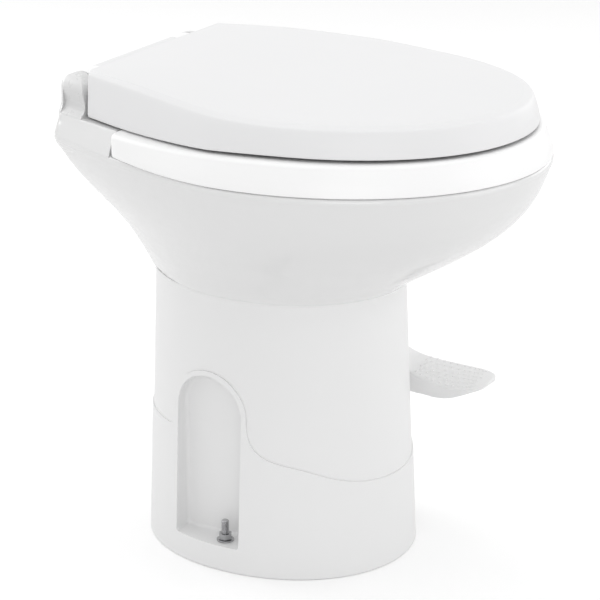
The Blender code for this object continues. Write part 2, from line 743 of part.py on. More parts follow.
def make_seat(look):
    outer, hole = seat_outlines()
    middle_z = mix(SKIRT_BOTTOM_Z, LID_EDGE_REAR_Z, 0.5)
    lip_z = SKIRT_BOTTOM_Z + SEAT_HOLE_LIP
    rings = [
        outer.ring(SKIRT_BOTTOM_Z),
        outer.inset(SEAT_LEAN * 0.3, 0.0).ring(middle_z),
        outer.inset(SEAT_LEAN, 0.0).ring(lambda x: seat_top(x) - SEAT_EDGE_ROUND),
        outer.inset(SEAT_LEAN + SEAT_EDGE_ROUND * 0.3, SEAT_EDGE_ROUND * 0.3).ring(
            lambda x: seat_top(x) - SEAT_EDGE_ROUND * 0.3),
        outer.inset(SEAT_LEAN + SEAT_EDGE_ROUND, SEAT_EDGE_ROUND).ring(seat_top),
        hole.inset(-SEAT_HOLE_SLOPE, -SEAT_HOLE_SLOPE * 0.5).ring(seat_top),
        hole.inset(-SEAT_HOLE_LIP).ring(lambda x: seat_top(x) - SEAT_HOLE_DROP),
        hole.ring(lambda x: seat_top(x) - SEAT_HOLE_DROP - SEAT_HOLE_LIP),
        hole.ring(lip_z),
        hole.inset(-SEAT_HOLE_LIP).ring(lip_z),
        hole.inset(-SEAT_HOLE_LIP - SEAT_SKIRT_WALL).ring(SEAT_UNDERSIDE_Z),
        outer.inset(SEAT_SKIRT_WALL * 2).ring(SEAT_UNDERSIDE_Z),
        outer.inset(SEAT_SKIRT_WALL).ring(SKIRT_BOTTOM_Z),
    ]
    seat = loft("seat_ring", rings, closed=True)
    for side in (-1, 1):
        near, far = sorted((side * (LID_KNUCKLE_HALF + GAP), side * SEAT_KNUCKLE_OUT))
        arm = box(f"seat_arm_{side}", (HINGE_X - ARM_HEEL, near, ARM_BOTTOM_Z),
                  (SEAT_REAR_X + SEAT_SKIRT_WALL * 2, far, ARM_TOP_Z))
        combine(seat, arm, "UNION")
        knuckle = rod(f"seat_knuckle_{side}", (HINGE_X, 0.0, HINGE_Z), "Y", KNUCKLE_RADIUS, near, far, BROAD_SIDES)
        combine(seat, knuckle, "UNION")
    combine(seat, knuckle_bore("seat_bore", PIN_RADIUS + SLIP, SEAT_KNUCKLE_OUT + OVERRUN))
    return finish(seat, look)


def make_feet(look):
    """Rubber feet: four under the seat on the bowl's rim, two under the lid on the seat."""
    outer, hole = seat_outlines()
    places = []
    for x, share in ((SEAT_FOOT_X, SEAT_FOOT_SHARE), (SEAT_FOOT_REAR_X, SEAT_FOOT_REAR_SHARE)):
        inner_y = hole.half_at(x) + SEAT_HOLE_LIP + SEAT_SKIRT_WALL + SEAT_FOOT_RADIUS
        outer_y = outer.half_at(x) - SEAT_SKIRT_WALL * 2 - SEAT_FOOT_RADIUS
        y = mix(inner_y, outer_y, share)
        places += [(x, y), (x, -y)]
    made = []
    for number, (x, y) in enumerate(places, 1):
        foot = turned(f"seat_foot_{number}", [
            (0.0, RIM_TOP_Z + GAP), (SEAT_FOOT_RADIUS * 0.8, RIM_TOP_Z + GAP),
            (SEAT_FOOT_RADIUS, SEAT_UNDERSIDE_Z - GAP), (0.0, SEAT_UNDERSIDE_Z - GAP)], (x, y, 0.0), "Z", SMALL_SIDES)
        made.append(finish(foot, look))
    lid_foot_y = mix(hole.half_at(LID_FOOT_X) + LID_FOOT_RADIUS,
                     lid_outlines()[1].half_at(LID_FOOT_X) - LID_TOP_WALL - LID_FOOT_RADIUS, LID_FOOT_SHARE)
    for number, y in enumerate((lid_foot_y, -lid_foot_y), 1):
        low = seat_top(LID_FOOT_X - LID_FOOT_RADIUS) + GAP * 3
        high = lid_top(LID_FOOT_X) - LID_TOP_WALL - GAP
        foot = turned(f"lid_foot_{number}", [
            (0.0, low), (LID_FOOT_RADIUS * 0.8, low), (LID_FOOT_RADIUS, high), (0.0, high)],
            (LID_FOOT_X, y, 0.0), "Z", SMALL_SIDES)
        made.append(finish(foot, look))
    return made


def make_hinge(post_look, steel, rubber, damper_look):
    """Fixed posts, the pin through all knuckles, dampers in the lid's knuckle, studs and their anchors."""
    centre = (HINGE_X, 0.0, HINGE_Z)
    made = []
    for side, word in ((-1, "near"), (1, "far")):
        post = post_shape(f"hinge_post_{word}", side)
        combine(post, knuckle_bore(f"post_bore_{word}", PIN_RADIUS + SLIP, PIN_HALF + GAP))
        stud_place = (HINGE_X, side * STUD_Y, 0.0)
        combine(post, rod(f"post_stud_bore_{word}", stud_place, "Z", STUD_RADIUS + SLIP, DECK_TOP_Z - OVERRUN,
                          DECK_TOP_Z + STUD_IN_POST + GAP, SMALL_SIDES))
        combine(post, rod(f"post_anchor_relief_{word}", stud_place, "Z", ANCHOR_FLANGE + SLIP, DECK_TOP_Z - OVERRUN,
                          DECK_TOP_Z + ANCHOR_FLANGE_HIGH + GAP * 2, SMALL_SIDES))
        made.append(finish(post, post_look))
        made.append(finish(rod(f"hinge_stud_{word}", stud_place, "Z", STUD_RADIUS, DECK_TOP_Z - STUD_IN_DECK,
                               DECK_TOP_Z + STUD_IN_POST, SMALL_SIDES), steel))
        flange_z = DECK_TOP_Z + GAP
        anchor_z = DECK_TOP_Z - ANCHOR_IN_DECK
        anchor = turned(f"hinge_anchor_{word}", [
            (STUD_RADIUS + SLIP, anchor_z), (ANCHOR_RADIUS, anchor_z), (ANCHOR_RADIUS, flange_z),
            (ANCHOR_FLANGE, flange_z), (ANCHOR_FLANGE, flange_z + ANCHOR_FLANGE_HIGH),
            (STUD_RADIUS + SLIP, flange_z + ANCHOR_FLANGE_HIGH)], stud_place, "Z", SMALL_SIDES)
        made.append(finish(anchor, rubber))
        near, far = sorted((side * DAMPER_SPACE / 2, side * (LID_KNUCKLE_HALF - GAP)))
        damper = sleeve(f"soft_close_damper_{word}", centre, "Y", DAMPER_RADIUS, PIN_RADIUS + SLIP, near, far,
                        SMALL_SIDES)
        made.append(finish(damper, damper_look))
    pin = rod("hinge_pin", centre, "Y", PIN_RADIUS, -PIN_HALF, PIN_HALF, SMALL_SIDES)
    made.append(finish(pin, steel))
    return made


def post_shape(name, side):
    """A knuckle on a foot, whose outer side carries on the side of the deck."""
    foot_z, top_z = DECK_TOP_Z + GAP, HINGE_Z + KNUCKLE_RADIUS
    outline = [(HINGE_X + KNUCKLE_RADIUS, foot_z)] + arc((HINGE_X, HINGE_Z), KNUCKLE_RADIUS, 0.0, math.pi, 14)
    outline.append((HINGE_X - KNUCKLE_RADIUS, foot_z))
    low, high = sorted((side * POST_IN, side * RIM_HALF_WIDTH))
    post = prism(name, outline, "Y", low, high)
    rings = []
    for up, inward in POST_SIDE_SHARES:
        inset = mix(DECK_TOP_INSET, POST_TOP_INSET, inward)
        rings.append(rim_outline().inset(inset, DECK_TOP_REAR_INSET, inset).ring(mix(foot_z - GAP / 2, top_z, up)))
    combine(post, loft(f"{name}_side", rings), "INTERSECT")
    return post


# Bowl

def rim_outline():
    return Egg(SEAT_FRONT_X, RIM_WIDEST_X, RIM_HALF_WIDTH, RIM_REAR_X, RIM_REAR_HALF_WIDTH, RIM_CORNER,
               2.0, RIM_SIDE_POWER)


def foot_outline():
    return Egg(FOOT_FRONT_X, FOOT_WIDEST_X, FOOT_HALF_WIDTH, FOOT_REAR_X, FOOT_REAR_HALF_WIDTH, FOOT_CORNER,
               FOOT_NOSE_POWER, FOOT_SIDE_POWER)


def mouth_outline():
    return Egg(MOUTH_FRONT_X, MOUTH_WIDEST_X, MOUTH_HALF_WIDTH, MOUTH_REAR_X, MOUTH_REAR_HALF_WIDTH, MOUTH_CORNER)


def bowl_height(share):
    return mix(BOWL_FOOT_Z, RIM_CREASE_Z, share)


def make_bowl(look):
    rim, foot, mouth = rim_outline(), foot_outline(), mouth_outline()
    rings = [rim.inset(RIM_ROUND * 3).ring(RIM_TOP_Z), rim.inset(RIM_ROUND).ring(RIM_TOP_Z - RIM_ROUND * 0.4)]
    rings += [foot.toward(rim, rear, front).ring(bowl_height(up)) for up, rear, front in BOWL_LEVEL_SHARES]
    lowest = foot.toward(rim, *BOWL_LEVEL_SHARES[-1][1:])
    rings.append(lowest.inset(BOWL_FOOT_WIDTH).ring(BOWL_FOOT_Z))
    for up, rear, front in HOLLOW_LEVEL_SHARES:
        rings.append(foot.toward(rim, rear, front).inset(BOWL_WALL).ring(bowl_height(up)))
    rings.append(foot.toward(rim, *HOLLOW_TOP_SHARES).inset(BOWL_WALL * 1.5).ring(HOLLOW_TOP_Z))
    basin = [(BASIN_HIGH_Z, BASIN_HIGH_INSET), (BASIN_MID_Z, BASIN_MID_INSET), (BASIN_LOW_Z, BASIN_LOW_INSET)]
    rings.append(mouth.inset(BASIN_HIGH_INSET - BASIN_WALL * 2).ring(HOLLOW_TOP_Z))
    for height, inward in basin:
        rings.append(basin_outline(inward - BASIN_WALL).ring(height - BASIN_WALL / 4))
    rings.append(circle_ring(PAD_SHOULDER_RADIUS, PAD_SHOULDER_Z))
    rings.append(circle_ring(PAD_RADIUS, PAD_TOP_Z))
    rings.append(circle_ring(PAD_RADIUS, PAD_BOTTOM_Z))
    rings.append(circle_ring(OUTLET_RADIUS, PAD_BOTTOM_Z))
    rings.append(circle_ring(OUTLET_NECK_RADIUS, OUTLET_NECK_Z))
    rings.append(circle_ring(THROAT_RADIUS, THROAT_Z))
    for height, inward in reversed(basin):
        rings.append(basin_outline(inward).ring(height))
    rings.append(mouth.inset(-RIM_LIP_UNDERCUT).ring(RIM_LIP_Z))
    rings.append(mouth.ring(RIM_LIP_Z))
    rings.append(mouth.ring(RIM_TOP_Z - MOUTH_ROUND))
    rings.append(mouth.inset(-MOUTH_ROUND).ring(RIM_TOP_Z))
    bowl = loft("bowl", rings, closed=True)
    combine(bowl, deck_shape(), "UNION")
    combine(bowl, box("deck_pocket", (RIM_REAR_X - OVERRUN, -POCKET_HALF_WIDTH, POCKET_FLOOR_Z),
                      (POCKET_FRONT_X, POCKET_HALF_WIDTH, DECK_TOP_Z + OVERRUN)))
    for side in (-1, 1):
        combine(bowl, rod(f"anchor_hole_{side}", (HINGE_X, side * STUD_Y, 0.0), "Z", ANCHOR_RADIUS + SLIP,
                          DECK_TOP_Z - ANCHOR_IN_DECK - ANCHOR_END_SPARE, DECK_TOP_Z + OVERRUN, SMALL_SIDES))
    for number, place in enumerate(bowl_bolt_places(), 1):
        combine(bowl, rod(f"bowl_bolt_hole_{number}", place, "Z", BOWL_BOLT_RADIUS + SLIP, PAD_BOTTOM_Z - OVERRUN,
                          BOWL_BOLT_TOP_Z + BOWL_BOLT_SPARE, SMALL_SIDES))
    combine(bowl, rod("nozzle_hole", (0.0, 0.0, NOZZLE_Z), "X", NOZZLE_RADIUS + SLIP, NOZZLE_TAIL_X,
                      MOUTH_REAR_X + BASIN_WALL, SMALL_SIDES))
    return finish(bowl, look)


def basin_outline(inward):
    """The inside of the basin, drawn in from the mouth and gathered over the outlet."""
    mouth = mouth_outline()
    front, widest, half_width, rear, rear_half, corner = mouth.sizes
    gather = max(inward, 0.0) / BASIN_LOW_INSET
    return Egg(front - inward * 1.45, mix(widest, BALL_X, gather * 0.8), half_width - inward,
               rear + inward * 0.35, rear_half - max(inward, 0.0) * 0.3, corner)


def deck_foot(x):
    return mix(DECK_FOOT_FRONT_Z, DECK_FOOT_REAR_Z, smoothstep((DECK_FRONT_X - x) / (DECK_FRONT_X - HINGE_X)))


def deck_shape():
    """The raised deck behind the seat, cut straight at its front."""
    rim = rim_outline()
    top = rim.inset(DECK_TOP_INSET, DECK_TOP_REAR_INSET, DECK_TOP_INSET)
    rings = [
        rim.inset(BOWL_WALL).ring(DECK_ROOT_Z),
        rim.inset(DECK_FOOT_INSET).ring(deck_foot),
        rim.inset(GAP).ring(DECK_BULGE_Z),
        rim.inset(DECK_WAIST_INSET, DECK_WAIST_REAR_INSET, DECK_WAIST_INSET).ring(DECK_WAIST_Z),
        top.ring(DECK_TOP_Z - DECK_EDGE_ROUND),
        top.inset(DECK_EDGE_ROUND).ring(DECK_TOP_Z),
    ]
    deck = loft("deck_shape", rings)
    keep = box("deck_keep", (RIM_REAR_X - OVERRUN, -RIM_HALF_WIDTH, DECK_ROOT_Z - OVERRUN),
               (DECK_FRONT_X, RIM_HALF_WIDTH, DECK_TOP_Z + OVERRUN))
    combine(deck, keep, "INTERSECT")
    return deck


def bowl_bolt_places():
    turns = [math.radians(45 + 90 * i) for i in range(4)]
    return [(BALL_X + BOWL_BOLT_CIRCLE * math.cos(a), BOWL_BOLT_CIRCLE * math.sin(a), 0.0) for a in turns]


# Pedestal

def pedestal_ring(height, proud):
    share = (height - FLOOR_Z) / (PEDESTAL_TOP_Z - FLOOR_Z)
    long = mix(SHROUD_FLOOR_LONG, SHROUD_TOP_LONG, share) + proud
    wide = mix(SHROUD_FLOOR_WIDE, SHROUD_TOP_WIDE, share) + proud
    return [(x, y, height) for x, y in oval(mix(PEDESTAL_FLOOR_X, SHROUD_TOP_X, share), long, wide, PEDESTAL_POWER)]


def seam_line(out):
    """The seam seen from the side, moved outward from the base by a distance."""
    radius = ARCH_HALF_WIDTH + out
    left, right = ARCH_X - radius, ARCH_X + radius
    rear_z, bend_z, front_z = SEAM_REAR_Z + out, SEAM_BEND_Z + out, SEAM_FRONT_Z + out
    line = [(RIM_REAR_X, rear_z)]
    line += bezier([(left - SEAM_FILLET, rear_z), (left, rear_z), (left, rear_z + SEAM_FILLET)], 4)
    line += arc((ARCH_X, ARCH_SPRING_Z), radius, math.pi, 0.0, ARCH_STEPS)
    bend = (SEAM_BEND_X, bend_z)
    drop = ARCH_SPRING_Z - SEAM_BEND_Z
    fall = SEAM_BEND_Z - SEAM_FRONT_Z
    line += bezier([(right, ARCH_SPRING_Z), (right, ARCH_SPRING_Z - drop * 0.75),
                    (mix(right, SEAM_BEND_X, 0.45), bend_z + fall * 0.2), bend], SEAM_CURVE_STEPS)[1:]
    line += bezier([bend, (mix(SEAM_BEND_X, SEAM_LAND_X, 0.3), bend_z - fall * 0.2),
                    (mix(SEAM_BEND_X, SEAM_LAND_X, 0.5), front_z), (SEAM_LAND_X, front_z)], SEAM_CURVE_STEPS)[1:]
    return line + [(SEAT_FRONT_X, front_z)]


def seam_prism(name, out):
    outline = seam_line(out) + [(SEAT_FRONT_X, FLOOR_Z - OVERRUN), (RIM_REAR_X, FLOOR_Z - OVERRUN)]
    return prism(name, outline, "Y", -RIM_HALF_WIDTH, RIM_HALF_WIDTH)


def arch_outline(half_width, floor_z):
    """A flat-bottomed arch, seen from the side."""
    curve = arc((ARCH_X, ARCH_SPRING_Z), half_width, 0.0, math.pi, ARCH_STEPS)
    return [(ARCH_X + half_width, floor_z)] + curve + [(ARCH_X - half_width, floor_z)]


def base_outside(name):
    return loft(name, [pedestal_ring(height, BASE_PROUD - BASE_WALL / 2) for height in (FLOOR_Z, BASE_TOP_Z)])


def make_base(look):
    inside = BASE_PROUD - BASE_WALL
    rings = [
        pedestal_ring(FLOOR_Z, BASE_PROUD - BASE_EDGE),
        pedestal_ring(FLOOR_Z + BASE_EDGE, BASE_PROUD),
        pedestal_ring(BASE_TOP_Z, BASE_PROUD),
        pedestal_ring(BASE_TOP_Z, inside),
        pedestal_ring(FOOT_FLANGE_HIGH + FOOT_FLANGE_SLOPE, inside),
        pedestal_ring(FOOT_FLANGE_HIGH, BASE_PROUD - FOOT_FLANGE_WIDTH),
        pedestal_ring(FLOOR_Z, BASE_PROUD - FOOT_FLANGE_WIDTH),
    ]
    base = loft("base_skirt", rings, closed=True)
    for side, word in ((-1, "near"), (1, "far")):
        low, high = sorted((side * (NICHE_BACK_Y - NICHE_WALL), side * NICHE_OUT_Y))
        arch = arch_outline(ARCH_HALF_WIDTH - GAP, NICHE_FLOOR_Z - NICHE_PLATE)
        block = prism(f"recess_block_{word}", arch, "Y", low, high)
        combine(block, base_outside(f"base_outside_{word}"), "INTERSECT")
        combine(base, block, "UNION")
    combine(base, seam_prism("base_keep", 0.0), "INTERSECT")
    for side, word in ((-1, "near"), (1, "far")):
        low, high = sorted((side * NICHE_BACK_Y, side * (NICHE_OUT_Y + OVERRUN)))
        combine(base, prism(f"recess_cut_{word}", arch_outline(NICHE_HALF_WIDTH, NICHE_FLOOR_Z), "Y", low, high))
        place = (FLOOR_BOLT_X, side * FLOOR_BOLT_Y, 0.0)
        combine(base, rod(f"floor_bolt_hole_{word}", place, "Z", FLOOR_BOLT_RADIUS + SLIP,
                          NICHE_FLOOR_Z - NICHE_PLATE - GAP, NICHE_FLOOR_Z + OVERRUN, SMALL_SIDES))
    return finish(base, look)


def make_shroud(look):
    band_z = PEDESTAL_TOP_Z - BAND_HIGH
    rings = [
        pedestal_ring(SHROUD_BOTTOM_Z, 0.0),
        pedestal_ring(band_z, 0.0),
        pedestal_ring(band_z + BAND_EDGE, BAND_PROUD),
        pedestal_ring(PEDESTAL_TOP_Z - BAND_EDGE, BAND_PROUD),
        pedestal_ring(PEDESTAL_TOP_Z, BAND_PROUD - BAND_EDGE),
        pedestal_ring(PEDESTAL_TOP_Z, -SHROUD_RIM_WIDTH),
        pedestal_ring(LEDGE_TOP_Z, -SHROUD_RIM_WIDTH - BLEND),
        circle_ring(LEDGE_HOLE_RADIUS, LEDGE_TOP_Z),
        circle_ring(LEDGE_HOLE_RADIUS, LEDGE_TOP_Z - LEDGE_THICK),
        pedestal_ring(LEDGE_TOP_Z - LEDGE_THICK, -SHROUD_WALL),
        pedestal_ring(SHROUD_BOTTOM_Z, -SHROUD_WALL),
    ]
    shroud = loft("pedestal_shroud", rings, closed=True)
    combine(shroud, seam_prism("shroud_cut", SEAM_GAP))
    combine(shroud, rod("pedal_bush_hole", (PEDAL_X, 0.0, PEDAL_Z), "Y",
                        PEDAL_SHAFT_RADIUS + SLIP + PEDAL_BUSH_WALL + SLIP, PEDAL_BUSH_IN - BLEND,
                        PEDAL_BUSH_OUT + OVERRUN))
    combine(shroud, rod("hose_hole", (HOSE_ROUTE[0][0], HOSE_ROUTE[0][1], 0.0), "Z", HOSE_RADIUS + HOSE_PLATE_SPACE,
                        LEDGE_TOP_Z - OVERRUN, LEDGE_TOP_Z + BLEND, SMALL_SIDES))
    combine(shroud, prism("rear_window", window_outline(), "X", RIM_REAR_X, INLET_NUT_IN_X))
    return finish(shroud, look)


def window_outline():
    corners = [(WINDOW_HALF_WIDTH, WINDOW_BOTTOM_Z, -90), (WINDOW_HALF_WIDTH, WINDOW_TOP_Z, 0),
               (-WINDOW_HALF_WIDTH, WINDOW_TOP_Z, 90), (-WINDOW_HALF_WIDTH, WINDOW_BOTTOM_Z, 180)]
    middle_z = (WINDOW_BOTTOM_Z + WINDOW_TOP_Z) / 2
    outline = []
    for y, z, start in corners:
        centre = (y - math.copysign(WINDOW_CORNER, y), z - math.copysign(WINDOW_CORNER, z - middle_z))
        outline += arc(centre, WINDOW_CORNER, math.radians(start), math.radians(start + 90), 3)
    return outline


def make_floor_bolts(steel):
    made = []
    for side, word in ((-1, "near"), (1, "far")):
        place = (FLOOR_BOLT_X, side * FLOOR_BOLT_Y, 0.0)
        hole = FLOOR_BOLT_RADIUS + SLIP
        washer_z = NICHE_FLOOR_Z + GAP
        nut_z = washer_z + FLOOR_WASHER_HIGH + GAP
        bolt = turned(f"floor_bolt_{word}", [
            (0.0, FLOOR_BOLT_BOTTOM_Z), (FLOOR_BOLT_HEAD_RADIUS, FLOOR_BOLT_BOTTOM_Z),
            (FLOOR_BOLT_HEAD_RADIUS, FLOOR_BOLT_BOTTOM_Z + FLOOR_BOLT_HEAD_HIGH),
            (FLOOR_BOLT_RADIUS, FLOOR_BOLT_BOTTOM_Z + FLOOR_BOLT_HEAD_HIGH),
            (FLOOR_BOLT_RADIUS, FLOOR_BOLT_TOP_Z - SLIP * 2), (FLOOR_BOLT_RADIUS - SLIP * 2, FLOOR_BOLT_TOP_Z),
            (0.0, FLOOR_BOLT_TOP_Z)], place, "Z", SMALL_SIDES)
        made.append(finish(bolt, steel))
        made.append(finish(sleeve(f"floor_washer_{word}", place, "Z", FLOOR_WASHER_RADIUS, hole, washer_z,
                                  washer_z + FLOOR_WASHER_HIGH), steel))
        nut = prism(f"floor_nut_{word}", arc(place, FLOOR_NUT_RADIUS, 0.0, math.radians(300), 5), "Z", nut_z,
                    nut_z + FLOOR_NUT_HIGH)
        combine(nut, rod(f"floor_nut_bore_{word}", place, "Z", hole, nut_z - BLEND, nut_z + FLOOR_NUT_HIGH + BLEND,
                         SMALL_SIDES))
        made.append(finish(nut, steel))
    return made


# Flush valve

def make_valve_body(look):
    outer = CHAMBER_RADIUS + CHAMBER_WALL
    spigot_outer = SPIGOT_RADIUS + SPIGOT_WALL
    flange_bottom = FLANGE_TOP_Z - FLANGE_THICK
    centre = (BALL_X, 0.0, 0.0)
    body = turned("valve_body", [
        (0.0, PIPE_JOINT_Z), (spigot_outer, PIPE_JOINT_Z), (spigot_outer, CHAMBER_CONE_Z),
        (outer, CHAMBER_BOTTOM_Z), (outer, flange_bottom), (FLANGE_RADIUS, flange_bottom),
        (FLANGE_RADIUS, FLANGE_TOP_Z), (0.0, FLANGE_TOP_Z)], centre, "Z", BROAD_SIDES)
    ball_axis = (BALL_X, 0.0, BALL_Z)
    bush_hole = SHAFT_RADIUS + SLIP + BUSH_WALL + SLIP
    for side, word in ((-1, "near"), (1, "far")):
        low, high = sorted((side * BOSS_IN, side * BOSS_OUT))
        combine(body, rod(f"ball_boss_{word}", ball_axis, "Y", bush_hole + BOSS_WALL, low, high), "UNION")
    pedal_axis = (PEDAL_X, 0.0, PEDAL_Z)
    combine(body, rod("pedal_boss", pedal_axis, "Y", PEDAL_BOSS_RADIUS, PEDAL_BOSS_IN, PEDAL_BOSS_OUT), "UNION")
    pin_x = PEDAL_X + SPRING_PIN_REACH
    low_z, high_z = PEDAL_Z - SPRING_ARM_HALF, SPRING_ANCHOR_Z + SPRING_ARM_HALF
    bend_x, far_x = pin_x - SPRING_ARM_HALF, pin_x + SPRING_ARM_HALF
    bracket = [(PEDAL_X, low_z), (far_x, low_z), (far_x, high_z), (bend_x, high_z),
               (bend_x, PEDAL_Z + SPRING_ARM_HALF), (PEDAL_X, PEDAL_Z + SPRING_ARM_HALF)]
    combine(body, prism("spring_bracket", bracket, "Y", SPRING_ARM_IN, PEDAL_BOSS_OUT - GAP), "UNION")
    combine(body, rod("spring_anchor", (pin_x, 0.0, SPRING_ANCHOR_Z), "Y", SPRING_PIN_RADIUS, SPRING_ARM_IN + BLEND,
                      SPRING_PIN_OUT, 12), "UNION")
    low_y, high_y = VALVE_ARM_Y - VALVE_ARM_HALF_WIDE, VALVE_ARM_Y + VALVE_ARM_HALF_WIDE
    rear_x = VALVE_CROSS_X + VALVE_CROSS_RADIUS + GAP
    carrier = box("water_valve_carrier", (rear_x, low_y, BALL_Z - VALVE_ARM_HALF_HIGH),
                  (VALVE_ARM_FRONT_X, high_y, BALL_Z + VALVE_ARM_HALF_HIGH))
    combine(body, carrier, "UNION")
    for number, place in enumerate(bowl_bolt_places(), 1):
        combine(body, rod(f"flange_hole_{number}", place, "Z", BOWL_BOLT_RADIUS + SLIP, flange_bottom - BLEND,
                          FLANGE_TOP_Z + BLEND, SMALL_SIDES))
    cavity = turned("chamber_cavity", [
        (0.0, PIPE_JOINT_Z - OVERRUN), (SPIGOT_RADIUS, PIPE_JOINT_Z - OVERRUN), (SPIGOT_RADIUS, CHAMBER_CONE_Z),
        (CHAMBER_RADIUS, CHAMBER_BOTTOM_Z), (CHAMBER_RADIUS, FLANGE_TOP_Z + OVERRUN), (0.0, FLANGE_TOP_Z + OVERRUN)],
        centre, "Z", BROAD_SIDES)
    combine(body, cavity)
    combine(body, rod("ball_bush_holes", ball_axis, "Y", bush_hole, -BOSS_OUT - OVERRUN, BOSS_OUT + OVERRUN),
            "DIFFERENCE", "MANIFOLD")
    combine(body, rod("pedal_boss_bore", pedal_axis, "Y", PEDAL_SHAFT_RADIUS + SLIP, PEDAL_SHAFT_IN - GAP,
                      PEDAL_BOSS_OUT + OVERRUN, SMALL_SIDES), "DIFFERENCE", "MANIFOLD")
    return finish(body, look)


def make_outlet_pipe(look):
    """The pipe down to the floor flange, with a socket round the neck of the valve body."""
    outer = SPIGOT_RADIUS + SPIGOT_WALL
    socket = outer + SLIP
    socket_top = PIPE_JOINT_Z + PIPE_SOCKET_DEEP
    pipe = turned("outlet_pipe", [
        (SPIGOT_RADIUS, SPIGOT_BOTTOM_Z), (outer, SPIGOT_BOTTOM_Z), (outer, PIPE_JOINT_Z - PIPE_SHOULDER),
        (socket + PIPE_SOCKET_WALL, PIPE_JOINT_Z), (socket + PIPE_SOCKET_WALL, socket_top), (socket, socket_top),
        (socket, PIPE_JOINT_Z - GAP), (SPIGOT_RADIUS, PIPE_JOINT_Z - GAP)], (BALL_X, 0.0, 0.0), "Z", BROAD_SIDES)
    return finish(pipe, look)


def make_seals(rubber, foam):
    centre = (BALL_X, 0.0, 0.0)
    low, high = FLANGE_TOP_Z + GAP, PAD_BOTTOM_Z - GAP
    ball_seal = turned("flush_ball_seal", [
        (SEAL_RADIUS, low), (SEAL_OUT_RADIUS, low), (SEAL_OUT_RADIUS, high), (SEAL_RADIUS + SEAL_CHAMFER, high)],
        centre, "Z", BROAD_SIDES)
    floor_seal = sleeve("floor_seal", centre, "Z", FLOOR_SEAL_OUT_RADIUS, SPIGOT_RADIUS + SPIGOT_WALL + GAP,
                        FLOOR_SEAL_BOTTOM_Z, FLOOR_SEAL_TOP_Z, BROAD_SIDES)
    return [finish(ball_seal, rubber), finish(floor_seal, foam)]


def make_bowl_bolts(steel):
    made = []
    head_top = FLANGE_TOP_Z - FLANGE_THICK - GAP
    for number, place in enumerate(bowl_bolt_places(), 1):
        bolt = turned(f"bowl_bolt_{number}", [
            (0.0, head_top - BOWL_BOLT_HEAD_HIGH), (BOWL_BOLT_HEAD_RADIUS, head_top - BOWL_BOLT_HEAD_HIGH),
            (BOWL_BOLT_HEAD_RADIUS, head_top), (BOWL_BOLT_RADIUS, head_top), (BOWL_BOLT_RADIUS, BOWL_BOLT_TOP_Z),
            (0.0, BOWL_BOLT_TOP_Z)], place, "Z", 12)
        made.append(finish(bolt, steel))
    return made


def make_ball(look):
    """A hollow ball cut away to a cap over the outlet and a cheek on each pivot."""
    centre = (BALL_X, 0.0, BALL_Z)
    steps = 12
    outer = [(BALL_RADIUS * math.sin(math.pi * i / steps), -BALL_RADIUS * math.cos(math.pi * i / steps))
             for i in range(steps + 1)]
    outer[0], outer[-1] = (0.0, -BALL_RADIUS), (0.0, BALL_RADIUS)
    ball = turned("flush_ball", outer, centre, "Y", ROUND_SIDES + 4)
    for side in (-1, 1):
        low, high = sorted((side * BALL_HUB_IN, side * BALL_HUB_OUT))
        combine(ball, rod(f"ball_hub_{side}", centre, "Y", BALL_HUB_RADIUS, low, high), "UNION")
    inner_radius = BALL_RADIUS - BALL_WALL
    inner = [(inner_radius * math.sin(math.pi * i / steps), -inner_radius * math.cos(math.pi * i / steps))
             for i in range(steps + 1)]
    inner[0], inner[-1] = (0.0, -inner_radius), (0.0, inner_radius)
    core = turned("ball_core", inner, centre, "Y", ROUND_SIDES + 4)
    for side in (-1, 1):
        low, high = sorted((side * BALL_HUB_IN, side * BALL_HUB_OUT))
        combine(core, rod(f"ball_core_hub_{side}", centre, "Y", BALL_HUB_RADIUS, low, high))
    combine(ball, core)
    way = box("ball_way", (BALL_X - BALL_RADIUS - OVERRUN, -BALL_CHEEK_Y, BALL_Z - BALL_RADIUS - OVERRUN),
              (BALL_X + BALL_RADIUS + OVERRUN, BALL_CHEEK_Y, BALL_Z + BALL_CAP_Z))
    combine(ball, way)
    combine(ball, rod("ball_bore", centre, "Y", SHAFT_RADIUS + SLIP, -BALL_HUB_OUT - BLEND, BALL_HUB_OUT + BLEND,
                      SMALL_SIDES))
    place_at(ball, centre)
    return finish(ball, look)


def make_ball_shafts(steel, bush_look):
    centre = (BALL_X, 0.0, BALL_Z)
    made = []
    ends = {"ball_shaft": (1, PINION_OUT + SHAFT_END_SPARE), "ball_pivot": (-1, CAM_OUT + SHAFT_END_SPARE / 2)}
    for name, (side, end) in ends.items():
        low, high = sorted((side * SHAFT_START, side * end))
        made.append(finish(rod(name, centre, "Y", SHAFT_RADIUS, low, high, SMALL_SIDES), steel))
        hole = SHAFT_RADIUS + SLIP
        flange_start = side * (BOSS_OUT + GAP)
        profile = [(hole, side * (CHAMBER_RADIUS + GAP)), (hole + BUSH_WALL, side * (CHAMBER_RADIUS + GAP)),
                   (hole + BUSH_WALL, flange_start), (hole + BUSH_WALL + BUSH_FLANGE, flange_start),
                   (hole + BUSH_WALL + BUSH_FLANGE, flange_start + side * BUSH_FLANGE_THICK),
                   (hole, flange_start + side * BUSH_FLANGE_THICK)]
        made.append(finish(turned(f"{name}_bushing", profile, centre, "Y"), bush_look))
    return made


# Gears

def gear_module():
    span = math.hypot(BALL_X - PEDAL_X, BALL_Z - PEDAL_Z)
    return 2 * span / (PINION_TEETH + SECTOR_FULL_TEETH)


def mesh_angle():
    """Direction from the pedal's axis to the ball's axis, from +X towards +Z."""
    return math.atan2(BALL_Z - PEDAL_Z, BALL_X - PEDAL_X)


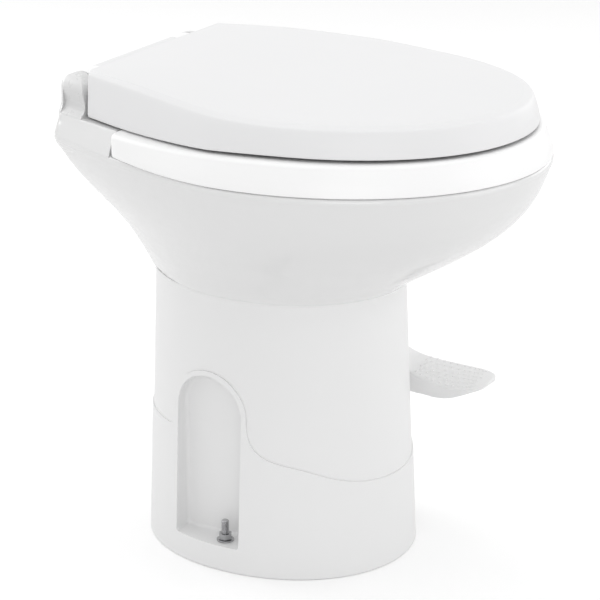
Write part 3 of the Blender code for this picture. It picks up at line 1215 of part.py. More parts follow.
def tooth_flank(teeth, module):
    """One side of a tooth as (radius, angle from the tooth's middle), from root to tip."""
    pitch = module * teeth / 2
    base = pitch * math.cos(PRESSURE_ANGLE)
    root = pitch - DEDENDUM_SHARE * module
    tip = pitch + ADDENDUM_SHARE * module
    half_pitch = math.pi / (2 * teeth) - BACKLASH / 4 / pitch

    def turn(radius):
        slope = math.acos(min(base / radius, 1.0))
        return half_pitch + math.tan(PRESSURE_ANGLE) - PRESSURE_ANGLE - (math.tan(slope) - slope)

    start = max(base, root)
    flank = [(root, turn(start))] if root < base else []
    radii = [mix(start, tip, i / FLANK_STEPS) for i in range(FLANK_STEPS + 1)]
    flank += [(radius, turn(radius)) for radius in radii]
    return flank


def teeth_outline(centre, teeth, middles):
    flank = tooth_flank(teeth, gear_module())
    outline = []
    for middle in middles:
        polar = [(radius, middle - turn) for radius, turn in flank]
        polar += [(radius, middle + turn) for radius, turn in reversed(flank)]
        outline += [(centre[0] + r * math.cos(a), centre[1] + r * math.sin(a)) for r, a in polar]
    return outline


def make_gears(look):
    ball_centre, pedal_centre = (BALL_X, BALL_Z), (PEDAL_X, PEDAL_Z)
    pinion_step = 2 * math.pi / PINION_TEETH
    back = mesh_angle() + math.pi
    middles = [back + pinion_step * (i + 0.5) for i in range(PINION_TEETH)]
    pinion = prism("drive_pinion", teeth_outline(ball_centre, PINION_TEETH, middles), "Y", PINION_IN, PINION_OUT)
    combine(pinion, rod("pinion_bore", (BALL_X, 0.0, BALL_Z), "Y", SHAFT_RADIUS + SLIP, PINION_IN - BLEND,
                        PINION_OUT + BLEND, SMALL_SIDES))
    place_at(pinion, (BALL_X, 0.0, BALL_Z))

    sector_step = 2 * math.pi / SECTOR_FULL_TEETH
    middles = [mesh_angle() + sector_step * (i - 2) for i in range(SECTOR_TEETH)]
    outline = teeth_outline(pedal_centre, SECTOR_FULL_TEETH, middles)
    hub_start, hub_end = middles[-1] + math.radians(42), middles[0] + math.radians(360 - 42)
    outline += arc(pedal_centre, SECTOR_HUB_RADIUS, hub_start, hub_end, 10)
    sector = prism("sector_gear", outline, "Y", SECTOR_IN, SECTOR_OUT)
    pin_x = PEDAL_X + SPRING_PIN_REACH
    lug = [(PEDAL_X, PEDAL_Z + SPRING_LUG_RADIUS)]
    lug.append((PEDAL_X, PEDAL_Z - SPRING_LUG_RADIUS))
    lug += arc((pin_x, PEDAL_Z), SPRING_LUG_RADIUS, -math.pi / 2, math.pi / 2, 8)
    combine(sector, prism("sector_lug", lug, "Y", SECTOR_IN + GAP, SECTOR_OUT - GAP), "UNION")
    combine(sector, rod("sector_pin", (pin_x, 0.0, PEDAL_Z), "Y", SPRING_PIN_RADIUS, SECTOR_IN + BLEND, SPRING_PIN_OUT,
                        12), "UNION")
    combine(sector, rod("sector_bore", (PEDAL_X, 0.0, PEDAL_Z), "Y", PEDAL_SHAFT_RADIUS + SLIP, SECTOR_IN - BLEND,
                        SECTOR_OUT + BLEND, SMALL_SIDES))
    place_at(sector, (PEDAL_X, 0.0, PEDAL_Z))
    return [finish(pinion, look), finish(sector, look)]


def spring_points():
    """Hook, coil and hook as one line of points, from the sector's pin up to the anchor."""
    x = PEDAL_X + SPRING_PIN_REACH
    low = PEDAL_Z + SPRING_LOOP_RADIUS + SPRING_LEAD
    high = SPRING_ANCHOR_Z - SPRING_LOOP_RADIUS - SPRING_LEAD
    points = []
    for i in range(8):
        a = math.radians(20 - 290 * i / 7)
        points.append((x + SPRING_LOOP_RADIUS * math.cos(a), SPRING_Y, PEDAL_Z + SPRING_LOOP_RADIUS * math.sin(a)))
    count = SPRING_CURLS * SPRING_CURL_POINTS
    for i in range(count + 1):
        a = math.pi / 2 + 2 * math.pi * i / SPRING_CURL_POINTS
        points.append((x + SPRING_COIL_RADIUS * math.cos(a), SPRING_Y + SPRING_COIL_RADIUS * math.sin(a),
                       mix(low, high, i / count)))
    for i in range(8):
        a = math.radians(-90 + 290 * i / 7)
        z = SPRING_ANCHOR_Z + SPRING_LOOP_RADIUS * math.sin(a)
        points.append((x + SPRING_LOOP_RADIUS * math.cos(a), SPRING_Y, z))
    return points


def least_gap(points, wire):
    """Smallest free space between parts of one wire that aren't next to each other along it."""
    places = [Vector(point) for point in points]
    apart = SPRING_CURL_POINTS // 2
    pairs = [(a - b).length for i, a in enumerate(places) for b in places[i + apart:]]
    return min(pairs) - 2 * wire


def wire_object(name, points, radius, resolution):
    curve = bpy.data.curves.new(name, "CURVE")
    curve.dimensions = "3D"
    curve.bevel_depth = radius
    curve.bevel_resolution = resolution
    curve.use_fill_caps = True
    line = curve.splines.new("POLY")
    line.points.add(len(points) - 1)
    for point, place in zip(line.points, points):
        point.co = (*place, 1.0)
    made = bpy.data.objects.new(name, curve)
    bpy.context.scene.collection.objects.link(made)
    return made


def make_spring(steel):
    points = spring_points()
    spring = wire_object("return_spring", points, SPRING_WIRE, 1)
    spring.data.materials.append(steel)
    print(f"return_spring: least gap to itself {least_gap(points, SPRING_WIRE) * 1000:.2f} mm")
    return spring


# Pedal

def tread_point(share, inward=0.0):
    along, across = share
    x = TREAD_REAR_X + along * TREAD_LENGTH
    y = TREAD_NEAR_Y + across * TREAD_WIDTH
    middle_x = TREAD_REAR_X + TREAD_LENGTH / 2
    middle_y = TREAD_NEAR_Y + TREAD_WIDTH / 2
    return (x - math.copysign(min(inward, abs(x - middle_x)), x - middle_x),
            y - math.copysign(min(inward, abs(y - middle_y)), y - middle_y))


def make_pedal(look):
    centre = (PEDAL_X, 0.0, PEDAL_Z)
    levels = ((TREAD_TOP_Z, TREAD_EDGE_ROUND), (TREAD_TOP_Z - TREAD_EDGE_ROUND * 0.4, TREAD_EDGE_ROUND * 0.3),
              (TREAD_EDGE_Z, 0.0), (TREAD_BOTTOM_Z, TREAD_UNDERCUT))
    rings = [[(*tread_point(share, inward), height) for share in TREAD_PLAN_SHARES] for height, inward in levels]
    pedal = loft("foot_pedal", rings)
    long, drop = TREAD_REAR_X - PEDAL_X, PEDAL_Z - TREAD_TOP_Z
    outline = arc((PEDAL_X, PEDAL_Z), PEDAL_HUB_RADIUS, math.radians(215), math.radians(35), 12)
    outline += [(PEDAL_X + along * long, PEDAL_Z - down * drop) for along, down in ARM_TOP_SHARES + ARM_BOTTOM_SHARES]
    combine(pedal, prism("pedal_arm", outline, "Y", PEDAL_ARM_IN, PEDAL_ARM_OUT), "UNION")
    combine(pedal, rod("pedal_hub", centre, "Y", PEDAL_HUB_RADIUS - BLEND, PEDAL_HUB_IN, PEDAL_ARM_OUT - GAP), "UNION")
    low_x, high_x, low_y, high_y = BUMP_FIELD_SHARES
    for row in range(BUMP_ROWS):
        for column in range(BUMP_COLUMNS):
            share = (mix(low_x, high_x, column / (BUMP_COLUMNS - 1)), mix(low_y, high_y, row / (BUMP_ROWS - 1)))
            bump = turned(f"tread_bump_{row}_{column}", [
                (0.0, TREAD_TOP_Z - BUMP_HIGH), (BUMP_RADIUS, TREAD_TOP_Z - BUMP_HIGH),
                (BUMP_RADIUS * 0.6, TREAD_TOP_Z + BUMP_HIGH), (0.0, TREAD_TOP_Z + BUMP_HIGH)],
                (*tread_point(share), 0.0), "Z", 6)
            combine(pedal, bump, "UNION")
    combine(pedal, rod("pedal_bore", centre, "Y", PEDAL_SHAFT_RADIUS + SLIP, PEDAL_HUB_IN - BLEND, PEDAL_BORE_OUT,
                       SMALL_SIDES))
    combine(pedal, rod("pedal_screw_hole", centre, "Y", PEDAL_SCREW_RADIUS + SLIP, PEDAL_BORE_OUT - BLEND,
                       PEDAL_ARM_OUT + BLEND, 12))
    place_at(pedal, centre)
    return finish(pedal, look)


def make_pedal_train(steel, bush_look):
    centre = (PEDAL_X, 0.0, PEDAL_Z)
    shaft = rod("pedal_shaft", centre, "Y", PEDAL_SHAFT_RADIUS, PEDAL_SHAFT_IN, PEDAL_BORE_OUT - GAP, SMALL_SIDES)
    combine(shaft, rod("pedal_shaft_thread", centre, "Y", PEDAL_SCREW_RADIUS + SLIP, PEDAL_SCREW_IN - GAP,
                       PEDAL_ARM_OUT, 12))
    hole = PEDAL_SHAFT_RADIUS + SLIP
    bushing = sleeve("pedal_bushing", centre, "Y", hole + PEDAL_BUSH_WALL, hole, PEDAL_BUSH_IN, PEDAL_BUSH_OUT)
    washer_y = PEDAL_ARM_OUT + GAP
    washer = sleeve("pedal_washer", centre, "Y", PEDAL_WASHER_RADIUS, PEDAL_SCREW_RADIUS + SLIP, washer_y,
                    washer_y + PEDAL_WASHER_HIGH)
    head_y = washer_y + PEDAL_WASHER_HIGH + GAP
    screw = turned("pedal_screw", [
        (0.0, PEDAL_SCREW_IN), (PEDAL_SCREW_RADIUS, PEDAL_SCREW_IN), (PEDAL_SCREW_RADIUS, head_y),
        (PEDAL_SCREW_HEAD_RADIUS, head_y), (PEDAL_SCREW_HEAD_RADIUS * 0.8, head_y + PEDAL_SCREW_HEAD_HIGH),
        (0.0, head_y + PEDAL_SCREW_HEAD_HIGH)], centre, "Y", SMALL_SIDES)
    return [finish(shaft, steel), finish(bushing, bush_look), finish(washer, steel), finish(screw, steel)]


# Water valve and rinse line

def make_cam(look):
    """A spiral that pushes the plunger in step with the ball, seen from the side."""
    points = []
    for i in range(CAM_STEPS + 1):
        turn = CAM_TURN * i / CAM_STEPS
        points.append((math.pi - turn, CAM_SMALL_RADIUS + CAM_LIFT * turn / CAM_TURN))
    top_end = math.pi - CAM_TURN - CAM_DWELL
    points.append((top_end, CAM_SMALL_RADIUS + CAM_LIFT))
    rest = 2 * math.pi - CAM_TURN - CAM_DWELL * 2
    for i in range(1, CAM_STEPS + 1):
        share = i / CAM_STEPS
        points.append((top_end - rest * share, mix(CAM_SMALL_RADIUS + CAM_LIFT, CAM_SMALL_RADIUS, smoothstep(share))))
    outline = [(BALL_X + r * math.cos(a), BALL_Z + r * math.sin(a)) for a, r in points]
    cam = prism("valve_cam", outline, "Y", -CAM_OUT, -CAM_IN)
    combine(cam, rod("cam_bore", (BALL_X, 0.0, BALL_Z), "Y", SHAFT_RADIUS + SLIP, -CAM_OUT - BLEND, -CAM_IN + BLEND,
                     SMALL_SIDES))
    place_at(cam, (BALL_X, 0.0, BALL_Z))
    return finish(cam, look)


def make_water_valve(look, plunger_look, nut_look):
    barrel_axis = (0.0, PLUNGER_Y, BALL_Z)
    cross_axis = (VALVE_CROSS_X, 0.0, BALL_Z)
    valve = rod("water_valve", cross_axis, "Y", VALVE_CROSS_RADIUS, PLUNGER_Y - BLEND, VALVE_CROSS_END_Y)
    combine(valve, rod("valve_barrel", barrel_axis, "X", VALVE_BARREL_RADIUS, VALVE_BARREL_REAR_X,
                       VALVE_BARREL_FRONT_X), "UNION")
    combine(valve, rod("valve_inlet", (0.0, 0.0, BALL_Z), "X", INLET_RADIUS, INLET_END_X, VALVE_CROSS_X + BLEND),
            "UNION")
    collar_x = INLET_NUT_IN_X + GAP
    combine(valve, rod("valve_collar", (0.0, 0.0, BALL_Z), "X", INLET_COLLAR_RADIUS, collar_x,
                       collar_x + INLET_COLLAR_LONG), "UNION")
    combine(valve, rod("valve_nipple", (VALVE_CROSS_X, NIPPLE_Y, 0.0), "Z", NIPPLE_RADIUS, BALL_Z + NIPPLE_RADIUS,
                       NIPPLE_TOP_Z, SMALL_SIDES), "UNION", "MANIFOLD")
    bore_x = VALVE_BARREL_REAR_X + VALVE_BARREL_END_WALL
    combine(valve, rod("valve_bore", barrel_axis, "X", PLUNGER_RADIUS + SLIP, bore_x,
                       VALVE_BARREL_FRONT_X + OVERRUN, SMALL_SIDES))
    combine(valve, rod("inlet_bore", (0.0, 0.0, BALL_Z), "X", INLET_BORE_RADIUS, INLET_END_X - OVERRUN,
                       INLET_END_X + INLET_BORE_DEPTH, SMALL_SIDES))
    nose_x = BALL_X - CAM_SMALL_RADIUS - PLUNGER_NOSE_GAP
    plunger = turned("valve_plunger", [
        (0.0, PLUNGER_REAR_X), (PLUNGER_RADIUS, PLUNGER_REAR_X), (PLUNGER_RADIUS, nose_x - PLUNGER_NOSE_LONG),
        (PLUNGER_NOSE_RADIUS, nose_x - PLUNGER_NOSE_LONG / 3), (PLUNGER_NOSE_RADIUS / 2, nose_x), (0.0, nose_x)],
        barrel_axis, "X", SMALL_SIDES)
    turns = [math.radians(60 * i) for i in range(6)]
    hexagon = [(INLET_NUT_RADIUS * math.cos(a), BALL_Z + INLET_NUT_RADIUS * math.sin(a)) for a in turns]
    nut = prism("inlet_nut", hexagon, "X", INLET_NUT_OUT_X, INLET_NUT_IN_X)
    combine(nut, rod("inlet_nut_bore", (0.0, 0.0, BALL_Z), "X", INLET_RADIUS + SLIP, INLET_NUT_OUT_X - BLEND,
                     INLET_NUT_IN_X + BLEND))
    return [finish(valve, look), finish(plunger, plunger_look), finish(nut, nut_look)]


def make_rinse_line(hose_look, nozzle_look, steel):
    hose = wire_object("rinse_hose", HOSE_ROUTE, HOSE_RADIUS, 2)
    hose.data.materials.append(hose_look)
    head_x = MOUTH_REAR_X + BASIN_HIGH_INSET * 0.35 + NOZZLE_STANDOFF
    centre = (0.0, 0.0, NOZZLE_Z)
    nozzle = turned("rinse_nozzle", [
        (NOZZLE_BORE_RADIUS, NOZZLE_TAIL_X), (NOZZLE_RADIUS, NOZZLE_TAIL_X), (NOZZLE_RADIUS, head_x),
        (NOZZLE_HEAD_RADIUS, head_x + NOZZLE_HEAD_LONG / 2), (NOZZLE_HEAD_RADIUS, head_x + NOZZLE_HEAD_LONG),
        (NOZZLE_BORE_RADIUS, head_x + NOZZLE_HEAD_LONG)], centre, "X", SMALL_SIDES)
    inner, outer = HOSE_RADIUS + SLIP, HOSE_RADIUS + SLIP + CLAMP_WALL
    start_x, start_y, start_z = HOSE_ROUTE[0]
    low_clamp = sleeve("hose_clamp_low", (start_x, start_y, 0.0), "Z", outer, inner, start_z + CLAMP_WIDTH / 4,
                       start_z + CLAMP_WIDTH * 1.25, SMALL_SIDES)
    end_x = HOSE_ROUTE[-1][0]
    high_clamp = sleeve("hose_clamp_high", centre, "X", outer, inner, end_x - CLAMP_WIDTH * 1.5,
                        end_x - CLAMP_WIDTH / 2, SMALL_SIDES)
    return [hose, finish(nozzle, nozzle_look), finish(low_clamp, steel), finish(high_clamp, steel)]


def main():
    clear_scene()
    lid_look = material("lid_plastic", WHITE_LID, 0.35)
    seat_look = material("seat_plastic", WHITE_SEAT, 0.25)
    china = material("china", WHITE_CHINA, 0.15)
    moulded = material("pedestal_plastic", WHITE_PEDESTAL, 0.35)
    pedal_look = material("pedal_plastic", WHITE_PEDESTAL, 0.45)
    steel = material("steel", STEEL, 0.25, 1.0)
    rubber = material("black_rubber", BLACK_RUBBER, 0.8)
    foam = material("grey_foam", GREY_RUBBER, 0.9)
    grey = material("grey_plastic", GREY_PLASTIC, 0.5)
    ivory = material("ivory_plastic", IVORY_PLASTIC, 0.5)

    make_lid(lid_look)
    make_seat(seat_look)
    make_feet(foam)
    make_hinge(china, steel, rubber, grey)
    make_bowl(china)
    make_base(moulded)
    make_shroud(moulded)
    make_floor_bolts(steel)
    make_valve_body(grey)
    make_outlet_pipe(grey)
    make_seals(rubber, foam)
    make_bowl_bolts(steel)
    make_ball(ivory)
    make_ball_shafts(steel, ivory)
    make_gears(ivory)
    make_spring(steel)
    make_pedal(pedal_look)
    make_pedal_train(steel, ivory)
    make_cam(ivory)
    make_water_valve(grey, ivory, grey)
    make_rinse_line(foam, ivory, steel)


main()
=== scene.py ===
# %% [markdown]
# # A camper toilet with a foot pedal
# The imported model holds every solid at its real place. This lesson dresses it: the large moulded
# forms are modelled again with fine outlines, the small ones are smoothed, and each gets its finish.

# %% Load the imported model
import json
import math

import bmesh
import bpy
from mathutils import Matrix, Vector, kdtree


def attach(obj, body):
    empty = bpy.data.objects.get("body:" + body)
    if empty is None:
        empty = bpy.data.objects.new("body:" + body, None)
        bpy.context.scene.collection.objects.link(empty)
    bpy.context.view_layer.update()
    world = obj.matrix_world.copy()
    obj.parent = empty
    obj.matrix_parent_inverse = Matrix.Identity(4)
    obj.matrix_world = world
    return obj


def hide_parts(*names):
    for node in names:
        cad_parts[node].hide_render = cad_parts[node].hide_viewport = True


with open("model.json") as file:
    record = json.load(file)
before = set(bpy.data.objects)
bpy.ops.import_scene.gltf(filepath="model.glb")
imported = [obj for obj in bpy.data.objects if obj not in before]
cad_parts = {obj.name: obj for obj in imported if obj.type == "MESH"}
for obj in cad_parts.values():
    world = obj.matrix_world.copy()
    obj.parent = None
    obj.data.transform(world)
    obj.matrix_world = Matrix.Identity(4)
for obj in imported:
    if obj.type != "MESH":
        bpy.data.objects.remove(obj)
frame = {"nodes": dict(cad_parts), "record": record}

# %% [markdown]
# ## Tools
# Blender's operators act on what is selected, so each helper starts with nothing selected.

bpy.ops.object.select_all(action="DESELECT")
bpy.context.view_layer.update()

# %% Small sums
def mix(first, second, share):
    return first + (second - first) * share


def smoothstep(share):
    held = min(max(share, 0.0), 1.0)
    return held * held * (3 - 2 * held)


def arc(centre, radius, start, end, steps):
    turns = [math.radians(mix(start, end, i / steps)) for i in range(steps + 1)]
    return [(centre[0] + radius * math.cos(a), centre[1] + radius * math.sin(a)) for a in turns]


def bezier(points, steps):
    """Points of a Bezier curve, its ends included."""
    made = []
    for i in range(steps + 1):
        row = [Vector(point) for point in points]
        while len(row) > 1:
            row = [a.lerp(b, i / steps) for a, b in zip(row, row[1:])]
        made.append(tuple(row[0]))
    return made


def through(knots, steps):
    """A smooth line through all its knots, with so many steps between two."""
    ends = [knots[0]] + list(knots) + [knots[-1]]
    line = []
    for before, start, end, after in zip(ends, ends[1:], ends[2:], ends[3:]):
        for i in range(steps):
            t = i / steps
            line.append(tuple(
                0.5 * (2 * b + (c - a) * t + (2 * a - 5 * b + 4 * c - d) * t * t + (3 * b - a - 3 * c + d) * t ** 3)
                for a, b, c, d in zip(before, start, end, after)))
    return line + [tuple(knots[-1])]


# %% [markdown]
# ## Skins over outlines
# A shell such as the lid or the bowl is a stack of outlines, one for each height. By hand, a circle
# is added, its rim is extruded, and the new rim is pulled onto the next outline. This helper does
# that for every outline in turn, so the faces run in clean rings and the shading stays smooth.

# %% Select, skin and close
def pick_only(piece):
    bpy.ops.object.select_all(action="DESELECT")
    piece.select_set(True)
    bpy.context.view_layer.objects.active = piece


def skin(name, rings, start="fill", end="fill"):
    """A circle extruded through the rings. An end is filled, drawn into a pole, or joined to the start."""
    bpy.ops.object.select_all(action="DESELECT")
    bpy.ops.mesh.primitive_circle_add(vertices=len(rings[0]), radius=1.0)
    piece = bpy.context.object
    piece.name = name
    for vertex, place in zip(piece.data.vertices, rings[0]):
        vertex.co = place
    bpy.ops.object.mode_set(mode="EDIT")
    bpy.ops.mesh.select_mode(type="VERT")
    bpy.ops.mesh.select_all(action="SELECT")
    if end == "join":
        rings = rings + [rings[0]]
    for before, after in zip(rings, rings[1:]):
        bpy.ops.mesh.extrude_region_move()
        pull_rim(piece, before, after)
    close_rim(end)
    if end != "join":
        bpy.ops.mesh.select_all(action="DESELECT")
        mesh = bmesh.from_edit_mesh(piece.data)
        mesh.verts.ensure_lookup_table()
        for number in range(len(rings[0])):
            mesh.verts[number].select = True
        mesh.select_flush_mode()
        bmesh.update_edit_mesh(piece.data)
        close_rim(start)
    bpy.ops.mesh.select_all(action="SELECT")
    bpy.ops.mesh.remove_doubles(threshold=1e-6)
    bpy.ops.mesh.normals_make_consistent(inside=False)
    bpy.ops.object.mode_set(mode="OBJECT")
    return piece


def pull_rim(piece, before, after):
    """Moves each selected vertex from its place on one outline to its place on the next."""
    tree = kdtree.KDTree(len(before))
    for number, place in enumerate(before):
        tree.insert(place, number)
    tree.balance()
    mesh = bmesh.from_edit_mesh(piece.data)
    for vertex in mesh.verts:
        if vertex.select:
            vertex.co = after[tree.find(vertex.co)[1]]
    bmesh.update_edit_mesh(piece.data)


def close_rim(way):
    if way == "fill":
        bpy.ops.mesh.edge_face_add()
    elif way == "pole":
        bpy.ops.mesh.merge(type="CENTER")


# %% [markdown]
# ## Straight and round pieces
# A plate is a filled circle pulled onto a drawn outline and extruded. A turned piece is a closed
# half profile that the Spin tool carries round its axis, as on a lathe.

# %% Plate and lathe
AXES = {"X": Vector((1, 0, 0)), "Y": Vector((0, 1, 0)), "Z": Vector((0, 0, 1))}


def plate(name, outline, axis, low, high):
    """Extrudes a drawn outline along an axis. Its points name the other two axes in order."""
    spread = {"X": lambda a, b: (low, a, b), "Y": lambda a, b: (a, low, b), "Z": lambda a, b: (a, b, low)}[axis]
    bpy.ops.object.select_all(action="DESELECT")
    bpy.ops.mesh.primitive_circle_add(vertices=len(outline), radius=1.0, fill_type="NGON")
    piece = bpy.context.object
    piece.name = name
    for vertex, (a, b) in zip(piece.data.vertices, outline):
        vertex.co = spread(a, b)
    bpy.ops.object.mode_set(mode="EDIT")
    bpy.ops.mesh.select_all(action="SELECT")
    bpy.ops.mesh.extrude_region_move(TRANSFORM_OT_translate={"value": AXES[axis] * (high - low)})
    bpy.ops.mesh.select_all(action="SELECT")
    bpy.ops.mesh.normals_make_consistent(inside=False)
    bpy.ops.object.mode_set(mode="OBJECT")
    return piece


def lathe(name, profile, centre, axis, sides=64):
    """Spins a closed profile of radius and place along the axis."""
    outward = AXES["Z"] if axis != "Z" else AXES["X"]
    bpy.ops.object.select_all(action="DESELECT")
    bpy.ops.mesh.primitive_circle_add(vertices=len(profile), radius=1.0)
    piece = bpy.context.object
    piece.name = name
    for vertex, (radius, place) in zip(piece.data.vertices, profile):
        vertex.co = Vector(centre) + outward * radius + AXES[axis] * place
    bpy.ops.object.mode_set(mode="EDIT")
    bpy.ops.mesh.select_all(action="SELECT")
    bpy.ops.mesh.spin(steps=sides, angle=math.tau, center=centre, axis=AXES[axis], use_normal_flip=False)
    bpy.ops.mesh.select_all(action="SELECT")
    bpy.ops.mesh.remove_doubles(threshold=1e-6)
    bpy.ops.mesh.dissolve_degenerate(threshold=1e-6)
    bpy.ops.mesh.select_all(action="SELECT")
    bpy.ops.mesh.normals_make_consistent(inside=False)
    bpy.ops.object.mode_set(mode="OBJECT")
    return piece


def barrel(name, centre, axis, radius, low, high, sides=64):
    return lathe(name, [(0.0, low), (radius, low), (radius, high), (0.0, high)], centre, axis, sides)


def block(name, low, high):
    corners = [(low[0], low[1]), (high[0], low[1]), (high[0], high[1]), (low[0], high[1])]
    return plate(name, corners, "Z", low[2], high[2])


# %% [markdown]
# ## Modifiers that are applied
# Boolean joins and cuts, Bevel rounds the edges that a mould or a tool would round, and Weighted
# Normal keeps the large faces flat in shade beside them.

# %% Join, cut, round and shade
def applied(piece, kind, **settings):
    pick_only(piece)
    step = piece.modifiers.new(kind.title(), kind)
    for name, value in settings.items():
        setattr(step, name, value)
    bpy.ops.object.modifier_apply(modifier=step.name)
    return piece


def carve(piece, other, operation="DIFFERENCE"):
    applied(piece, "BOOLEAN", operation=operation, object=other, solver="EXACT")
    bpy.data.objects.remove(other)
    return piece


def rounded(piece, width, segments=3, angle=40):
    return applied(piece, "BEVEL", width=width, segments=segments, limit_method="ANGLE",
                   angle_limit=math.radians(angle), use_clamp_overlap=True, miter_outer="MITER_ARC")


def shaded(piece, angle=40, weighted=True):
    pick_only(piece)
    bpy.ops.object.shade_smooth_by_angle(angle=math.radians(angle))
    if weighted:
        applied(piece, "WEIGHTED_NORMAL", keep_sharp=True, weight=60)
    return piece


def joined(name, pieces):
    bpy.ops.object.select_all(action="DESELECT")
    for piece in pieces:
        piece.select_set(True)
    bpy.context.view_layer.objects.active = pieces[0]
    bpy.ops.object.join()
    made = bpy.context.object
    made.name = name
    return made


def count(piece):
    print(f"{piece.name}: {len(piece.data.polygons)} faces")
    return piece


# %% [markdown]
# ## Finishes
# Moulded plastic is never perfectly smooth: it has a fine grain and a slow waviness, and its sheen
# drifts a little. One group gives both as values, and each material sets its own strengths.

# %% A node group for moulded skin
def group_of(name, inputs, outputs):
    tree = bpy.data.node_groups.new(name, "ShaderNodeTree")
    for label, kind, value in inputs:
        socket = tree.interface.new_socket(label, in_out="INPUT", socket_type=kind)
        if value is not None:
            socket.default_value = value
    for label, kind in outputs:
        tree.interface.new_socket(label, in_out="OUTPUT", socket_type=kind)
    return tree, tree.nodes.new("NodeGroupInput"), tree.nodes.new("NodeGroupOutput")


def noise_of(tree, vector, scale, detail=2.0, rough=0.5):
    node = tree.nodes.new("ShaderNodeTexNoise")
    node.inputs["Scale"].default_value = scale
    node.inputs["Detail"].default_value = detail
    node.inputs["Roughness"].default_value = rough
    tree.links.new(vector, node.inputs["Vector"])
    return node


def math_of(tree, operation, first, second):
    node = tree.nodes.new("ShaderNodeMath")
    node.operation = operation
    for socket, value in zip(node.inputs, (first, second)):
        if isinstance(value, bpy.types.NodeSocket):
            tree.links.new(value, socket)
        else:
            socket.default_value = value
    return node.outputs[0]


def moulded_skin():
    tree, given, out = group_of(
        "Moulded skin",
        [("Vector", "NodeSocketVector", None), ("Colour", "NodeSocketColor", (0.9, 0.9, 0.9, 1.0)),
         ("Roughness", "NodeSocketFloat", 0.4), ("Sheen drift", "NodeSocketFloat", 0.05),
         ("Tone drift", "NodeSocketFloat", 0.02), ("Grain", "NodeSocketFloat", 1.0),
         ("Waviness", "NodeSocketFloat", 1.0)],
        [("Colour", "NodeSocketColor"), ("Roughness", "NodeSocketFloat"), ("Height", "NodeSocketFloat")])
    vector = given.outputs["Vector"]
    slow = noise_of(tree, vector, 7.0, 3.0)
    grain = noise_of(tree, vector, 1400.0, 2.0)
    wave = noise_of(tree, vector, 28.0, 1.0)
    smear = noise_of(tree, vector, 45.0, 4.0, 0.6)
    drift = math_of(tree, "SUBTRACT", slow.outputs["Fac"], 0.5)
    tone = math_of(tree, "ADD", math_of(tree, "MULTIPLY", drift, given.outputs["Tone drift"]), 1.0)
    scaled = tree.nodes.new("ShaderNodeVectorMath")
    scaled.operation = "SCALE"
    tree.links.new(given.outputs["Colour"], scaled.inputs[0])
    tree.links.new(tone, scaled.inputs["Scale"])
    tree.links.new(scaled.outputs["Vector"], out.inputs["Colour"])
    patch = math_of(tree, "SUBTRACT", smear.outputs["Fac"], 0.5)
    sheen = math_of(tree, "MULTIPLY", patch, given.outputs["Sheen drift"])
    tree.links.new(math_of(tree, "ADD", sheen, given.outputs["Roughness"]), out.inputs["Roughness"])
    fine = math_of(tree, "MULTIPLY", grain.outputs["Fac"], given.outputs["Grain"])
    broad = math_of(tree, "MULTIPLY", wave.outputs["Fac"], given.outputs["Waviness"])
    tree.links.new(math_of(tree, "ADD", fine, broad), out.inputs["Height"])
    return tree


MOULDED_SKIN = moulded_skin()


# %% A material that uses the group
def finish_of(name, colour, roughness, sheen=0.05, tone=0.02, grain=1.0, wave=1.0, depth=0.00002, **shader_values):
    """A Principled material fed by the moulded skin group. Heights are in metres."""
    made = bpy.data.materials.new(name)
    made.use_nodes = True
    tree = made.node_tree
    shader = tree.nodes["Principled BSDF"]
    skin_node = tree.nodes.new("ShaderNodeGroup")
    skin_node.node_tree = MOULDED_SKIN
    place = tree.nodes.new("ShaderNodeTexCoord")
    tree.links.new(place.outputs["Object"], skin_node.inputs["Vector"])
    for label, value in (("Colour", (*colour, 1.0)), ("Roughness", roughness), ("Sheen drift", sheen),
                         ("Tone drift", tone), ("Grain", grain), ("Waviness", wave)):
        skin_node.inputs[label].default_value = value
    bump = tree.nodes.new("ShaderNodeBump")
    bump.inputs["Distance"].default_value = depth
    bump.inputs["Strength"].default_value = 1.0
    tree.links.new(skin_node.outputs["Colour"], shader.inputs["Base Color"])
    tree.links.new(skin_node.outputs["Roughness"], shader.inputs["Roughness"])
    tree.links.new(skin_node.outputs["Height"], bump.inputs["Height"])
    tree.links.new(bump.outputs["Normal"], shader.inputs["Normal"])
    for label, value in shader_values.items():
        shader.inputs[label.replace("_", " ")].default_value = value
    return made


# %% [markdown]
# ## The finishes of this object
# The seat is the brightest, the lid is a shade softer and duller, the china has a thin hard glaze
# over a smooth body, and the pedestal is a satin plastic with a fine grain.

